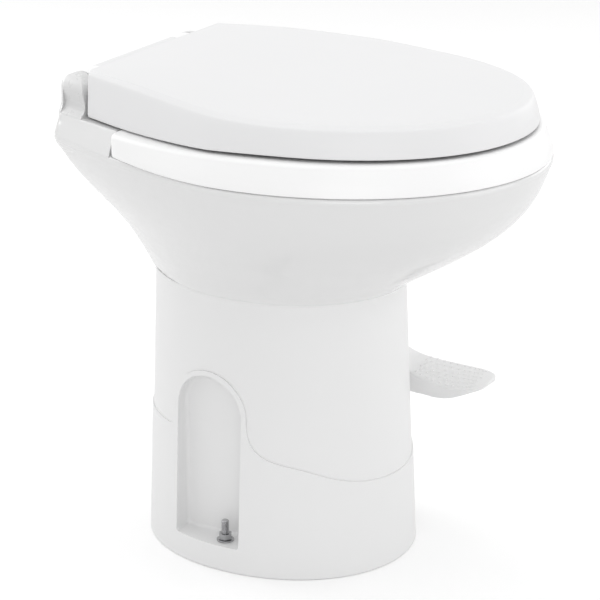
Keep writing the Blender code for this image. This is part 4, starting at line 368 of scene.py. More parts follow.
# %% Plastics, china, rubber and metal
FINISHES = {
    "lid_plastic": finish_of("Satin lid plastic", (0.80, 0.80, 0.805), 0.42, grain=0.5, wave=0.6),
    "seat_plastic": finish_of("Glossy seat plastic", (0.94, 0.94, 0.94), 0.34, grain=0.2, wave=0.5),
    "china": finish_of("Glazed china", (0.775, 0.775, 0.775), 0.16, grain=0.05, wave=1.6, depth=0.00004,
                       Coat_Weight=0.6, Coat_Roughness=0.05),
    # The hinge plastic is white plastic made darker, which paints in the shade that falls on the hinge posts.
    "hinge_plastic": finish_of("Hinge plastic with painted shade", (0.69, 0.69, 0.69), 0.28, grain=0.2, wave=0.4),
    "pedestal_plastic": finish_of("Satin pedestal plastic", (0.83, 0.83, 0.83), 0.40, grain=1.0, wave=0.8),
    "pedal_plastic": finish_of("Grained pedal plastic", (0.82, 0.82, 0.82), 0.48, grain=2.0, wave=0.5),
    "steel": finish_of("Plain steel", (0.42, 0.42, 0.43), 0.20, sheen=0.2, tone=0.1, grain=0.6, Metallic=1.0),
    "black_rubber": finish_of("Black seal rubber", (0.028, 0.028, 0.030), 0.62, tone=0.2, grain=3.0),
    "grey_rubber": finish_of("Grey foot rubber", (0.34, 0.34, 0.35), 0.58, tone=0.1, grain=3.0),
    "grey_plastic": finish_of("Grey valve plastic", (0.55, 0.56, 0.58), 0.42, tone=0.05, grain=1.5),
    "ivory_plastic": finish_of("Ivory gear plastic", (0.78, 0.76, 0.70), 0.33, tone=0.05, grain=0.8),
}
print(len(FINISHES), "finishes")


# %% Hand a piece its finish, its body and the solids it stands for
SLOT_OF = {part["node"]: part["material_slot"] for part in frame["record"]["subparts"]}
BODY_OF = {node: body for body, nodes in frame["record"]["behaviour"]["bodies"].items() for node in nodes}
DRESSED = set()


def stand_for(piece, *nodes, look=None):
    slot = look or SLOT_OF[nodes[0]]
    piece.data.materials.clear()
    piece.data.materials.append(FINISHES[slot])
    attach(piece, BODY_OF[nodes[0]])
    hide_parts(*nodes)
    DRESSED.update(nodes)
    return count(piece)


# %% [markdown]
# ## Outlines seen from above
# Lid, seat, rim and bowl share one family of outlines: a round nose, swelling sides and a straight
# rear with rounded corners. It could be drawn as a curve by hand, but each shell needs dozens of
# slightly different ones, so a few sizes describe it and code sets the points.

# %% The family of outlines
NOSE, SIDE, CORNER, REAR = 26, 20, 6, 8


class Plan:
    def __init__(self, front, widest, half_width, rear, rear_half, corner, nose_power=2.0, side_power=1.4):
        self.sizes = (front, widest, half_width, rear, rear_half, corner)
        self.powers = (nose_power, side_power)

    def inset(self, by, rear_by=None, corner_by=None):
        front, widest, half_width, rear, rear_half, corner = self.sizes
        rear_by = by if rear_by is None else rear_by
        corner_by = rear_by if corner_by is None else corner_by
        return Plan(front - by, widest, half_width - by, rear + rear_by, rear_half - corner_by, corner, *self.powers)

    def toward(self, other, rear_share, front_share=None):
        front_share = rear_share if front_share is None else front_share
        both = (rear_share + front_share) / 2
        shares = (front_share, both, both, rear_share, both, both)
        sizes = [mix(a, b, share) for a, b, share in zip(self.sizes, other.sizes, shares)]
        return Plan(*sizes, *[mix(a, b, both) for a, b in zip(self.powers, other.powers)])

    def shrunk(self, share):
        front, widest, half_width, rear, rear_half, corner = self.sizes
        return Plan(mix(widest, front, share), widest, half_width * share, mix(widest, rear, share),
                    rear_half * share, corner * share, *self.powers)

    def side_line(self, last):
        """From the widest place to the corner, on one smooth curve."""
        _, widest, half_width, rear, rear_half, _ = self.sizes
        power = self.powers[1]
        controls = ((1.0, 1.0), (1.15 - 0.24 * power, 1.0), (0.35, min(1.0, 0.35 * power)), (0.0, 0.0))
        fine = bezier(controls, 200)
        line = []
        for i in range(1, SIDE + 1):
            share = mix(1.0, last, i / SIDE)
            across = min(fine, key=lambda point: abs(point[0] - share))
            line.append((mix(rear, widest, share), mix(rear_half, half_width, across[1])))
        return line

    def points(self):
        front, widest, half_width, rear, rear_half, corner = self.sizes
        half = []
        for i in range(NOSE + 1):
            angle, power = math.pi / 2 * i / NOSE, 2 / self.powers[0]
            forward = max(math.cos(angle), 0.0) ** power
            half.append((widest + (front - widest) * forward, half_width * math.sin(angle) ** power))
        half += self.side_line(corner / (widest - rear))
        half += bezier([half[-1], (rear, rear_half), (rear, rear_half - corner)], CORNER)[1:]
        half += [(rear, mix(half[-1][1], 0.0, i / REAR)) for i in range(1, REAR + 1)]
        half[0] = (half[0][0], 0.0)
        return half + [(x, -y) for x, y in reversed(half[1:-1])]

    def ring(self, height):
        level = height if callable(height) else lambda x: height
        return [(x, y, level(x)) for x, y in self.points()]


def oval(middle_x, long, wide, power=2.0):
    """A rounded oval with as many points as a Plan."""
    tail = SIDE + CORNER + REAR
    shares = [i / NOSE / 2 for i in range(NOSE)] + [0.5 + i / tail / 2 for i in range(tail + 1)]
    half = []
    for share in shares:
        c, s = math.cos(math.pi * share), math.sin(math.pi * share)
        half.append((middle_x + math.copysign(long * abs(c) ** (2 / power), c), wide * abs(s) ** (2 / power)))
    half[0], half[-1] = (half[0][0], 0.0), (half[-1][0], 0.0)
    return half + [(x, -y) for x, y in reversed(half[1:-1])]


# %% [markdown]
# ## The lid
# The lid is a thin moulded shell. Its lower edge falls towards the hinge while its top rises, and a
# soft crease runs round the top. The rings start under the shell, turn round the lower edge, climb
# the side and close over the domed top.

# %% Heights along the lid
FALL_FROM_X, FALL_TO_X = 0.064, -0.148


def fall(x):
    return smoothstep((FALL_FROM_X - x) / (FALL_FROM_X - FALL_TO_X))


def lid_edge(x):
    return mix(0.4570, 0.4490, fall(x))


def lid_top(x):
    return mix(0.4850, 0.4945, fall(x))


def seat_top(x):
    return lid_edge(x) - mix(0.0032, 0.0015, fall(x))


# %% The lid's shell
LID_LOW = Plan(0.2242, -0.0079, 0.1797, -0.1872, 0.1219, 0.004, 2.06, 1.233)
LID_HIGH = LID_LOW.inset(0.0158, 0.0010, 0.0050)
LID_WALL, LID_TOP_WALL, LID_DOME = 0.004, 0.0055, 0.0023
HINGE_X, HINGE_Z, BARREL, PIN_BORE = -0.2098, 0.4665, 0.0195, 0.0043


def lid_shell():
    under = LID_HIGH.inset(LID_TOP_WALL, LID_WALL)
    rings = [under.shrunk(share).ring(lambda x: lid_top(x) - LID_TOP_WALL) for share in (0.05, 0.3, 0.6, 0.85)]
    rings.append(under.ring(lambda x: lid_top(x) - LID_TOP_WALL))
    for share in (0.75, 0.55, 0.3, 0.1):
        rings.append(LID_LOW.toward(LID_HIGH, share * 0.7).inset(LID_WALL).ring(
            lambda x, share=share: mix(lid_edge(x), lid_top(x), share)))
    rings.append(LID_LOW.inset(LID_WALL).ring(lid_edge))
    rings.append(LID_LOW.inset(0.0009).ring(lid_edge))
    rings.append(LID_LOW.inset(0.0003).ring(lambda x: lid_edge(x) + 0.0003))
    side = [(0.0, 0.04), (0.05, 0.17), (0.16, 0.43), (0.34, 0.735), (0.45, 0.86), (0.53, 0.905), (0.64, 0.932),
            (0.82, 0.965), (1.06, 1.0)]
    for inward, up in through(side, 4):
        rings.append(LID_LOW.toward(LID_HIGH, inward).ring(lambda x, up=up: mix(lid_edge(x), lid_top(x), up)))
    for size, rise in through([(0.965, 0.10), (0.90, 0.35), (0.62, 0.80), (0.28, 0.97), (0.04, 1.0)], 4):
        rings.append(LID_HIGH.shrunk(size).ring(lambda x, rise=rise: lid_top(x) + LID_DOME * rise))
    return skin("lid_shell", rings, "fill", "pole")


def lid_knuckle():
    """The long middle barrel of the hinge, blended into the lid's rear wall."""
    line = [(-0.1852, lid_top(-0.1872) - 0.0003)] + arc((HINGE_X, HINGE_Z), BARREL, 72, 270, 40) + [(-0.1852, 0.4493)]
    knuckle = plate("lid_knuckle", line, "Y", -0.0697, 0.0697)
    carve(knuckle, barrel("bore", (HINGE_X, 0, HINGE_Z), "Y", 0.0093, -0.09, 0.09, 32))
    return rounded(knuckle, 0.0008, 3, 50)


lid = joined("lid_shell", [lid_shell(), lid_knuckle()])
stand_for(shaded(lid, 38), "lid")

# %% [markdown]
# ## The seat
# The seat is a closed ring with a deep skirt. The skirt leans in and turns over softly at the top, the
# hole's rim slopes in, and the rear ends of the skirt are square with a rounded lower corner.

# %% The seat's ring
SEAT = Plan(0.2380, 0.0033, 0.1982, -0.1365, 0.1580, 0.008, 1.99, 1.75)
HOLE = Plan(0.1640, 0.0200, 0.1060, -0.1020, 0.0400, 0.0200)
SKIRT_Z, SEAT_UNDER_Z = 0.4257, 0.4352


def skirt_low(x):
    """The skirt's lower edge, lifted round the corner at its rear end."""
    radius, past = 0.0065, x - SEAT.sizes[3]
    return SKIRT_Z if past >= radius else SKIRT_Z + radius - math.sqrt(max(radius ** 2 - (radius - past) ** 2, 0.0))


def seat_ring():
    rings = [SEAT.inset(0.0006).ring(skirt_low), SEAT.inset(0.0001).ring(lambda x: skirt_low(x) + 0.0005)]
    rings += [SEAT.inset(0.0080 * share ** 1.3, 0.0).ring(lambda x, share=share: mix(
        skirt_low(x) + 0.001, seat_top(x) - 0.0045, share)) for share in (0.0, 0.2, 0.4, 0.6, 0.8, 1.0)]
    for inward, down in arc((1.0, 1.0), 1.0, 180, 90, 8)[1:]:
        rings.append(SEAT.inset(0.0080 + 0.0070 * inward, 0.0030 * inward).ring(
            lambda x, down=down: seat_top(x) - 0.0045 * (2 - down)))
    rings.append(SEAT.inset(0.0175, 0.006).ring(seat_top))
    rings.append(HOLE.inset(-0.024, -0.013).ring(seat_top))
    lip = [(0.022, 0.0), (0.016, 0.0006), (0.010, 0.0017), (0.005, 0.0034), (0.0016, 0.0058), (0.0, 0.0090)]
    for out, down in through(lip, 2):
        rings.append(HOLE.inset(-out).ring(lambda x, down=down: seat_top(x) - down))
    rings += [HOLE.ring(SKIRT_Z + 0.0062), HOLE.inset(-0.0012).ring(SKIRT_Z + 0.005)]
    rings += [HOLE.inset(-0.005).ring(SKIRT_Z + 0.005), HOLE.inset(-0.009).ring(SEAT_UNDER_Z)]
    rings += [SEAT.inset(0.008).ring(SEAT_UNDER_Z), SEAT.inset(0.004).ring(skirt_low)]
    return skin("seat", rings, end="join")


seat = seat_ring()
for side in (-1, 1):
    near, far = sorted((side * 0.0700, side * 0.0947))
    arm = block("arm", (HINGE_X - 0.004, near, 0.4365), (-0.1285, far, 0.4475))
    carve(arm, barrel("knuckle", (HINGE_X, 0, HINGE_Z), "Y", BARREL, near, far, 72), "UNION")
    carve(arm, barrel("bore", (HINGE_X, 0, HINGE_Z), "Y", PIN_BORE, near - 0.01, far + 0.01, 32))
    seat = joined("seat", [seat, rounded(arm, 0.0009, 3, 50)])
stand_for(shaded(seat, 38), "seat_ring")

# %% [markdown]
# ## The bowl
# The bowl is glazed china. Its outside swells from the pedestal to the rim, longer at the front, and
# a raised deck behind the seat carries the hinge. Inside, the rim overhangs the basin, which gathers
# to a round outlet. The same rings give outside and inside in one closed skin.

# %% Outlines of the bowl
RIM = Plan(0.2380, 0.0040, 0.1985, -0.2355, 0.1155, 0.0125, 2.0, 1.4)
FOOT = Plan(0.0894, -0.0408, 0.1066, -0.1710, 0.0300, 0.0260, 2.07, 2.0)
MOUTH = Plan(0.1700, 0.0200, 0.1160, -0.1080, 0.0440, 0.0220)
FOOT_Z, CREASE_Z, RIM_Z, BALL_X = 0.2862, 0.4200, 0.4252, -0.045
LEVELS = ((1.000, 1.000, 1.000), (0.957, 0.955, 0.988), (0.888, 0.895, 0.964), (0.770, 0.770, 0.920),
          (0.650, 0.625, 0.850), (0.530, 0.475, 0.750), (0.420, 0.350, 0.630), (0.320, 0.262, 0.495),
          (0.225, 0.206, 0.360), (0.130, 0.160, 0.215), (0.055, 0.126, 0.105), (0.000, 0.100, 0.045))


def bowl_z(share):
    return mix(FOOT_Z, CREASE_Z, share)


def basin(inward):
    """The inside of the basin, drawn in from the mouth and gathered over the outlet."""
    front, widest, half_width, rear, rear_half, corner = MOUTH.sizes
    gather = max(inward, 0.0) / 0.056
    return Plan(front - inward * 1.45, mix(widest, BALL_X, gather * 0.8), half_width - inward,
                rear + inward * 0.35, rear_half - max(inward, 0.0) * 0.3, corner)


def round_ring(radius, height):
    return [(x, y, height) for x, y in oval(BALL_X, radius, radius)]


# %% Outside, hollow, basin and rim in one skin
def bowl_rings():
    rings = [RIM.inset(0.0090).ring(RIM_Z), RIM.inset(0.0045).ring(RIM_Z)]
    for inward, down in through([(0.0022, 0.0004), (0.0008, 0.0014), (0.0001, 0.0032)], 2):
        rings.append(RIM.inset(inward).ring(RIM_Z - down))
    rings += [FOOT.toward(RIM, rear, front).ring(bowl_z(up)) for up, rear, front in through(LEVELS, 4)]
    lowest = FOOT.toward(RIM, 0.100, 0.045)
    rings += [lowest.inset(0.0110).ring(FOOT_Z), FOOT.toward(RIM, 0.25, 0.45).inset(0.009).ring(bowl_z(0.34))]
    rings.append(FOOT.toward(RIM, 0.735, 0.905).inset(0.009).ring(bowl_z(0.74)))
    rings += [FOOT.toward(RIM, 0.820, 0.935).inset(0.0135).ring(0.395), MOUTH.inset(-0.024).ring(0.395)]
    outside = [(0.385, -0.008), (0.356, 0.020), (0.330, 0.056)]
    rings += [basin(inward - 0.008).ring(height - 0.002) for height, inward in outside]
    rings += [round_ring(0.060, 0.308), round_ring(0.068, 0.303), round_ring(0.068, 0.2888)]
    rings += [round_ring(0.0315, 0.2888), round_ring(0.0345, 0.2990)]
    inside = [(height, inward) for height, inward in through(
        [(0.330, 0.056), (0.343, 0.037), (0.356, 0.020), (0.370, 0.004), (0.385, -0.008), (0.395, -0.0105)], 4)]
    throat, first = round_ring(0.0440, 0.3100), basin(inside[0][1]).ring(inside[0][0])
    neck = rings[-1]
    rings += [[tuple(Vector(a).lerp(Vector(b), share)) for a, b in zip(neck, throat)] for share in (0.5, 1.0)]
    rings += [[tuple(Vector(a).lerp(Vector(b), share)) for a, b in zip(throat, first)] for share in (0.33, 0.66)]
    rings += [basin(inward).ring(height) for height, inward in inside]
    rings += [MOUTH.inset(-0.009).ring(0.4010), MOUTH.inset(-0.002).ring(0.4000), MOUTH.ring(0.4020)]
    rings.append(MOUTH.ring(RIM_Z - 0.0050))
    for out, down in arc((1.0, 0.0), 1.0, 180, 90, 5):
        rings.append(MOUTH.inset(-0.005 * out).ring(RIM_Z - 0.005 * (1 - down)))
    return rings


bowl = skin("bowl_china", bowl_rings(), end="join")
carve(bowl, block("pocket", (-0.30, -0.096, 0.4345), (-0.100, 0.096, 0.50)))
count(bowl)


# %% [markdown]
# The deck is a second skin, cut straight at its front and recessed in the middle for the hinge. Its
# side bulges out of the bowl along a low edge and then leans in to a top outline of its own, so each
# ring is a blend of the two outlines. Its rear stands steeper than its sides.

# %% The raised deck
DECK_Z, DECK_FRONT_X = 0.4470, -0.1374
DECK_TOP = Plan(0.2145, 0.0040, 0.1750, -0.2295, 0.1141, 0.0111, 2.0, 1.4)


def deck_foot(x):
    return mix(0.4180, 0.4115, smoothstep((DECK_FRONT_X - x) / (DECK_FRONT_X - HINGE_X)))


def deck():
    rings = [RIM.inset(0.009).ring(0.405)]
    for inward, up in through([(0.0035, 0.0), (0.0016, 0.28), (0.0005, 0.62), (0.0001, 1.0)], 3):
        rings.append(RIM.inset(inward).ring(lambda x, up=up: mix(deck_foot(x), 0.4250, up)))
    edge = RIM.inset(0.0003)
    sides = [(0.0, 0.0, 0.4250), (0.20, 0.37, 0.4320), (0.50, 0.80, 0.4389), (0.75, 0.93, 0.4430),
             (0.97, 1.0, 0.4462)]
    for side, rear, height in through(sides, 3)[1:]:
        rings.append(edge.toward(DECK_TOP, rear, 2 * side - rear).ring(height))
    rings += [DECK_TOP.inset(0.0003).ring(0.4467), DECK_TOP.inset(0.0009).ring(DECK_Z)]
    made = skin("deck", rings)
    carve(made, block("keep", (-0.26, -0.22, 0.38), (DECK_FRONT_X, 0.22, 0.47)), "INTERSECT")
    carve(made, block("pocket", (-0.30, -0.096, 0.4345), (-0.100, 0.096, 0.50)))
    return rounded(made, 0.0008, 3, 60)


bowl = joined("bowl_china", [bowl, deck()])
stand_for(shaded(bowl, 40), "bowl")

# %% [markdown]
# ## Hinge posts
# Each post is a knuckle on a foot. Seen from the side it is a round-topped plate, and its outer face
# carries on the side of the deck. That face has a soft scoop and a plain fin behind it, so the plate
# is crossed with one skin for the scoop and with another for the fin, and the two are joined.

# %% The two posts
FIN = [(0.00, 0.00), (0.06, 0.03), (0.13, 0.11), (0.20, 0.20), (0.28, 0.245),
       (0.60, 0.27), (0.74, 0.34), (0.85, 0.50), (0.94, 0.76), (1.04, 1.20)]
SCOOP = [(0.00, 0.00), (0.05, 0.05), (0.11, 0.22), (0.18, 0.37), (0.28, 0.44), (0.40, 0.41),
         (0.52, 0.33), (0.63, 0.28), (0.74, 0.34), (0.85, 0.50), (0.94, 0.76), (1.04, 1.20)]
STUD_Y, REACH = 0.1085, 0.0186


def post_slab(side, levels, front_x):
    foot_z, top_z = DECK_Z - 0.0008, HINGE_Z + BARREL
    outline = [(HINGE_X + BARREL, foot_z)] + arc((HINGE_X, HINGE_Z), BARREL, 0, 180, 60)
    outline.append((HINGE_X - BARREL, foot_z))
    slab = plate("slab", outline, "Y", *sorted((side * 0.0965, side * 0.1985)))
    rings = []
    for up, inward in through(levels, 4):
        inset = REACH * inward
        rings.append(DECK_TOP.inset(inset, 0.0, inset).ring(mix(foot_z - 0.0001, top_z, up)))
    carve(slab, skin("side", rings), "INTERSECT")
    return carve(slab, block("keep", (-0.24, -0.21, 0.43), (front_x, 0.21, 0.50)), "INTERSECT")


def hinge_post(side):
    post = carve(post_slab(side, SCOOP, -0.18), post_slab(side, FIN, -0.2218), "UNION")
    rounded(post, 0.0009, 3, 38)
    carve(post, barrel("bore", (HINGE_X, 0, HINGE_Z), "Y", PIN_BORE, *sorted((0.0, side * 0.1123)), 32))
    carve(post, barrel("stud", (HINGE_X, side * STUD_Y, 0), "Z", 0.0033, 0.43, 0.4568, 32))
    return carve(post, barrel("anchor", (HINGE_X, side * STUD_Y, 0), "Z", 0.0083, 0.43, 0.4491, 32))


for side, word in ((-1, "near"), (1, "far")):
    stand_for(shaded(hinge_post(side), 40), f"hinge_post_{word}")

# %% [markdown]
# ## The pedestal
# Two plastic shells make the pedestal: a tall shroud that slips over a proud base. Their seam runs
# low at the front, rises in an arch over the bolt recess, and dips behind it. Each shell is a skin
# that is cut with the seam's own outline.

# %% Outlines and the seam
PEDESTAL_TOP_Z, ARCH_X, ARCH_SPRING_Z, ARCH_HALF = 0.2859, -0.0585, 0.1610, 0.0445
RECESS_HALF, RECESS_FLOOR_Z, RECESS_BACK_Y, BEND_X = 0.0395, 0.0260, 0.0890, 0.0300
PEDAL_HUB, FLOOR_BOLT_X, FLOOR_BOLT_Y = (-0.012, 0, 0.222), -0.0430, 0.1060


def pedestal_ring(height, proud):
    share = height / PEDESTAL_TOP_Z
    long, wide = mix(0.1395, 0.1302, share) + proud, mix(0.1214, 0.1066, share) + proud
    return [(x, y, height) for x, y in oval(mix(-0.0390, -0.0408, share), long, wide, 2.07)]


def seam_outline(out):
    """The seam seen from the side, moved out from the base by a distance, and closed below."""
    radius = ARCH_HALF + out
    left, right = ARCH_X - radius, ARCH_X + radius
    rear_z, bend_z, front_z = 0.1375 + out, 0.1180 + out, 0.0915 + out
    line = [(-0.30, rear_z)]
    line += bezier([(left - 0.010, rear_z), (left, rear_z), (left, rear_z + 0.010)], 10)
    line += arc((ARCH_X, ARCH_SPRING_Z), radius, 180, 0, 48)
    line += bezier([(right, ARCH_SPRING_Z), (right, ARCH_SPRING_Z - 0.0323),
                    (mix(right, BEND_X, 0.45), bend_z + 0.0053), (BEND_X, bend_z)], 18)[1:]
    line += bezier([(BEND_X, bend_z), (0.0585, bend_z - 0.0053), (0.0775, front_z), (0.125, front_z)], 18)[1:]
    return line + [(0.30, front_z), (0.30, -0.05), (-0.30, -0.05)]


def arch(half_width, floor_z, corner=0.0005):
    left, right, low = ARCH_X - half_width + corner, ARCH_X + half_width - corner, floor_z + corner
    curve = arc((right, low), corner, -90, 0, 6) + arc((ARCH_X, ARCH_SPRING_Z), half_width, 0, 180, 48)
    return curve + arc((left, low), corner, 180, 270, 6)


# %% The shroud
def shroud():
    rings = [pedestal_ring(height, 0.0) for height in (0.080, 0.130, 0.180, 0.230, 0.2817)]
    rings += [pedestal_ring(0.2820, 0.0009), pedestal_ring(0.2826, 0.0012), pedestal_ring(0.2850, 0.0012)]
    rings += [pedestal_ring(0.2857, 0.0009), pedestal_ring(0.2859, 0.0003), pedestal_ring(0.2859, -0.0085)]
    rings += [pedestal_ring(0.2789, -0.0105), round_ring(0.0655, 0.2789), round_ring(0.0655, 0.2754)]
    rings += [pedestal_ring(0.2754, -0.003), pedestal_ring(0.080, -0.003)]
    made = skin("shroud", rings, end="join")
    carve(made, plate("seam", seam_outline(0.0001), "Y", -0.2, 0.2))
    carve(made, barrel("bush", PEDAL_HUB, "Y", 0.0096, 0.097, 0.13, 48))
    window = arc((0.018, 0.236), 0.006, -90, 0, 6) + arc((0.018, 0.266), 0.006, 0, 90, 6)
    window += arc((-0.018, 0.266), 0.006, 90, 180, 6) + arc((-0.018, 0.236), 0.006, 180, 270, 6)
    carve(made, plate("window", window, "X", -0.23, -0.15))
    carve(made, barrel("hose", (-0.109, -0.0635, 0), "Z", 0.0078, 0.27, 0.281, 32))
    return rounded(made, 0.0002, 2, 50)


stand_for(shaded(shroud(), 40), "pedestal_shroud")

# %% [markdown]
# The base has a deep recess on each side, with a ledge for the floor bolt. The recess is a solid arch
# joined to the wall and hollowed out again, which leaves an even lip round it. The cutter's last rings
# shrink, which rounds the edge where the recess meets its back.

# %% The hollow of the recess
def hollow(side):
    """An arch pushed into the wall, rounded where it meets the back and in its lower corners."""
    rings = []
    for inward, depth in arc((1.0, 1.0), 1.0, 270, 180, 5) + [(0.0, 2.0)]:
        half, floor_z = RECESS_HALF - 0.0040 * inward, RECESS_FLOOR_Z + 0.0030 * inward
        place = side * (RECESS_BACK_Y + 0.0045 * depth)
        rings.append([(x, place, z) for x, z in arch(half, floor_z, 0.0030)])
    rings.append([(x, side * 0.150, z) for x, z in arch(RECESS_HALF, RECESS_FLOOR_Z, 0.0030)])
    return skin("recess", rings)


# %% The base
def base():
    wall = -0.002
    rings = [pedestal_ring(0.0, 0.0003), pedestal_ring(0.0004, 0.0010), pedestal_ring(0.0012, 0.0015)]
    rings += [pedestal_ring(height, 0.0015) for height in (0.04, 0.08, 0.12, 0.16, 0.215)]
    rings += [pedestal_ring(0.215, wall), pedestal_ring(0.009, wall), pedestal_ring(0.006, -0.0125)]
    rings.append(pedestal_ring(0.0, -0.0125))
    made = skin("base", rings, end="join")
    for side in (-1, 1):
        low, high = sorted((side * 0.086, side * 0.130))
        ledge = plate("ledge", arch(0.0442, 0.020), "Y", low, high)
        carve(ledge, skin("outside", [pedestal_ring(0.0, 0.0012), pedestal_ring(0.215, 0.0012)]), "INTERSECT")
        carve(made, ledge, "UNION")
    carve(made, plate("seam", seam_outline(0.0), "Y", -0.2, 0.2), "INTERSECT")
    for side in (-1, 1):
        carve(made, hollow(side))
    for side in (-1, 1):
        carve(made, barrel("hole", (FLOOR_BOLT_X, side * FLOOR_BOLT_Y, 0), "Z", 0.0041, 0.018, 0.05, 32))
    return rounded(made, 0.0006, 2, 50)


stand_for(shaded(base(), 40), "base_skirt")

# %% [markdown]
# ## The pedal
# The pedal is one moulding: a hub on the shaft, an arm that curves forward and a broad tread that
# falls off towards the pedestal. Each ring of its skin is a rounded slice between a point of the top
# line and one of the bottom line. Low bumps on the tread give the foot a grip.

# %% Slices of the lever
# Top x and z, bottom x and z, near and far side, fall of the near side, undercut.
SLICES = [
    (-0.0020, 0.2120, -0.0200, 0.2060, 0.1155, 0.1365, 0.0000, 0.0000),
    (0.0075, 0.1975, -0.0100, 0.1850, 0.1155, 0.1366, 0.0000, 0.0000),
    (0.0165, 0.1850, -0.0010, 0.1650, 0.1155, 0.1372, 0.0000, 0.0010),
    (0.0240, 0.1772, 0.0105, 0.1480, 0.1155, 0.1386, 0.0000, 0.0020),
    (0.0306, 0.1712, 0.0230, 0.1330, 0.1155, 0.1408, 0.0015, 0.0060),
    (0.0372, 0.1660, 0.0340, 0.1250, 0.1150, 0.1450, 0.0050, 0.0110),
    (0.0445, 0.1620, 0.0445, 0.1220, 0.1145, 0.1495, 0.0085, 0.0150),
    (0.0560, 0.1592, 0.0560, 0.1220, 0.1130, 0.1520, 0.0105, 0.0160),
    (0.0750, 0.1580, 0.0735, 0.1240, 0.1085, 0.1530, 0.0125, 0.0140),
    (0.0950, 0.1575, 0.0920, 0.1293, 0.1055, 0.1528, 0.0125, 0.0100),
    (0.1100, 0.1572, 0.1065, 0.1360, 0.1060, 0.1520, 0.0110, 0.0060),
    (0.1195, 0.1566, 0.1160, 0.1405, 0.1085, 0.1510, 0.0090, 0.0040),
    (0.1258, 0.1556, 0.1230, 0.1436, 0.1122, 0.1494, 0.0072, 0.0020),
    (0.1296, 0.1547, 0.1280, 0.1456, 0.1165, 0.1476, 0.0055, 0.0010),
    (0.1317, 0.1534, 0.1308, 0.1474, 0.1215, 0.1452, 0.0040, 0.0000),
    (0.1324, 0.1515, 0.1320, 0.1488, 0.1270, 0.1420, 0.0025, 0.0000),
]


RING_STEPS, SQUARENESS = 40, 9.0
GRIP_ROWS, GRIP_COLUMNS, GRIP_FIRST, GRIP_SPAN = 6, 11, 6.7, 4.6  # the last two count slices
GRIP = [(0.0, -0.0010), (0.0019, -0.0010), (0.0014, 0.0005), (0.0, 0.0006)]


def pedal_point(cut, across, up):
    """Across runs from -1, near, to 1, far, and up from 0, the bottom line, to 1, the top line."""
    top_x, top_z, low_x, low_z, near, far, fall_off, undercut = cut
    nearness = (1 - across) / 2
    y = mix(near, far, (1 + across) / 2) + undercut * nearness * (1 - up)
    return (mix(low_x, top_x, up), y, mix(low_z, top_z, up) - fall_off * nearness * up)


def pedal_ring(cut):
    ring = []
    for i in range(RING_STEPS):
        c, s = math.cos(math.tau * i / RING_STEPS), math.sin(math.tau * i / RING_STEPS)
        across, up = (math.copysign(abs(value) ** (2 / SQUARENESS), value) for value in (c, s))
        ring.append(pedal_point(cut, across, (1 + up) / 2))
    return ring


# %% The pedal with its hub and its grip
def foot_pedal():
    line = through(SLICES, 3)
    lever = skin("foot_pedal", [pedal_ring(cut) for cut in line])
    carve(lever, rounded(barrel("hub", PEDAL_HUB, "Y", 0.0160, 0.1098, 0.1365, 64), 0.0008, 3, 50), "UNION")
    carve(lever, barrel("bore", PEDAL_HUB, "Y", 0.0063, 0.10, 0.130, 40))
    carve(lever, barrel("screw_hole", PEDAL_HUB, "Y", 0.0025, 0.12, 0.14, 24))
    grips = []
    for row in range(GRIP_ROWS):
        for column in range(GRIP_COLUMNS):
            place = GRIP_FIRST + GRIP_SPAN * (column + 0.5 * (row % 2)) / GRIP_COLUMNS
            before, after = SLICES[int(place)], SLICES[int(place) + 1]
            cut = [mix(a, b, place % 1) for a, b in zip(before, after)]
            spot = pedal_point(cut, mix(-0.70, 0.80, row / (GRIP_ROWS - 1)), 1.0)
            grips.append(lathe("grip", GRIP, spot, "Z", 12))
    return joined("foot_pedal", [lever] + grips)


stand_for(shaded(foot_pedal(), 26, weighted=False), "foot_pedal")

# %% [markdown]
# ## Floor bolts
# A floor bolt's thread is a helix, but at this size rings look the same, so each bolt is turned from
# a toothed half profile, with a plain shank and a head below.

# %% Bolts with their threads
SHANK, ROOT, THREADS, PITCH, THREAD_Z = 0.0038, 0.0032, 16, 0.00125, 0.0274


def threaded_bolt(side):
    profile = [(0.0, 0.0105), (0.0080, 0.0105), (0.0080, 0.0135), (SHANK, 0.0135), (SHANK, 0.0270)]
    for number in range(THREADS):
        low = THREAD_Z + PITCH * number
        profile += [(ROOT, low), (ROOT, low + 0.0002), (SHANK, low + 0.0006), (SHANK, low + 0.0008)]
    profile += [(0.0030, 0.0480), (0.0, 0.0480)]
    return lathe("bolt", profile, (FLOOR_BOLT_X, side * FLOOR_BOLT_Y, 0), "Z", 32)


for side, word in ((-1, "near"), (1, "far")):
    stand_for(shaded(threaded_bolt(side), 30), f"floor_bolt_{word}")

# %% [markdown]
# ## Smaller pieces
# Pins, seals, gears and nuts keep their solid's shape. A copy of each is welded, its sharp edges get
# a small bevel, and it is shaded smooth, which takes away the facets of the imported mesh.

# %% Welded and bevelled copies
def welded_copy(node):
    pick_only(frame["nodes"][node])
    bpy.ops.object.duplicate()
    piece = bpy.context.object
    piece.name = f"{node}_piece"
    piece.parent = None
    for key in list(piece.keys()):
        del piece[key]
    bpy.ops.object.mode_set(mode="EDIT")
    bpy.ops.mesh.select_all(action="SELECT")
    bpy.ops.mesh.remove_doubles(threshold=1e-6)
    bpy.ops.mesh.dissolve_limited(angle_limit=math.radians(0.5))
    bpy.ops.object.mode_set(mode="OBJECT")
    return shaded(rounded(piece, 0.0002, 2, 50), 34)


for node in sorted(set(frame["nodes"]) - DRESSED):
    stand_for(welded_copy(node), node)

# %% [markdown]
# ## Floor, light and camera
# The object stands on a white studio floor under an even white sky. Six large, weak lamps stand
# round it and over it, so that each side has a tone of its own and no shadow is hard. The floor glows
# a little for the camera alone, which takes it to white and leaves the shadow under the base.

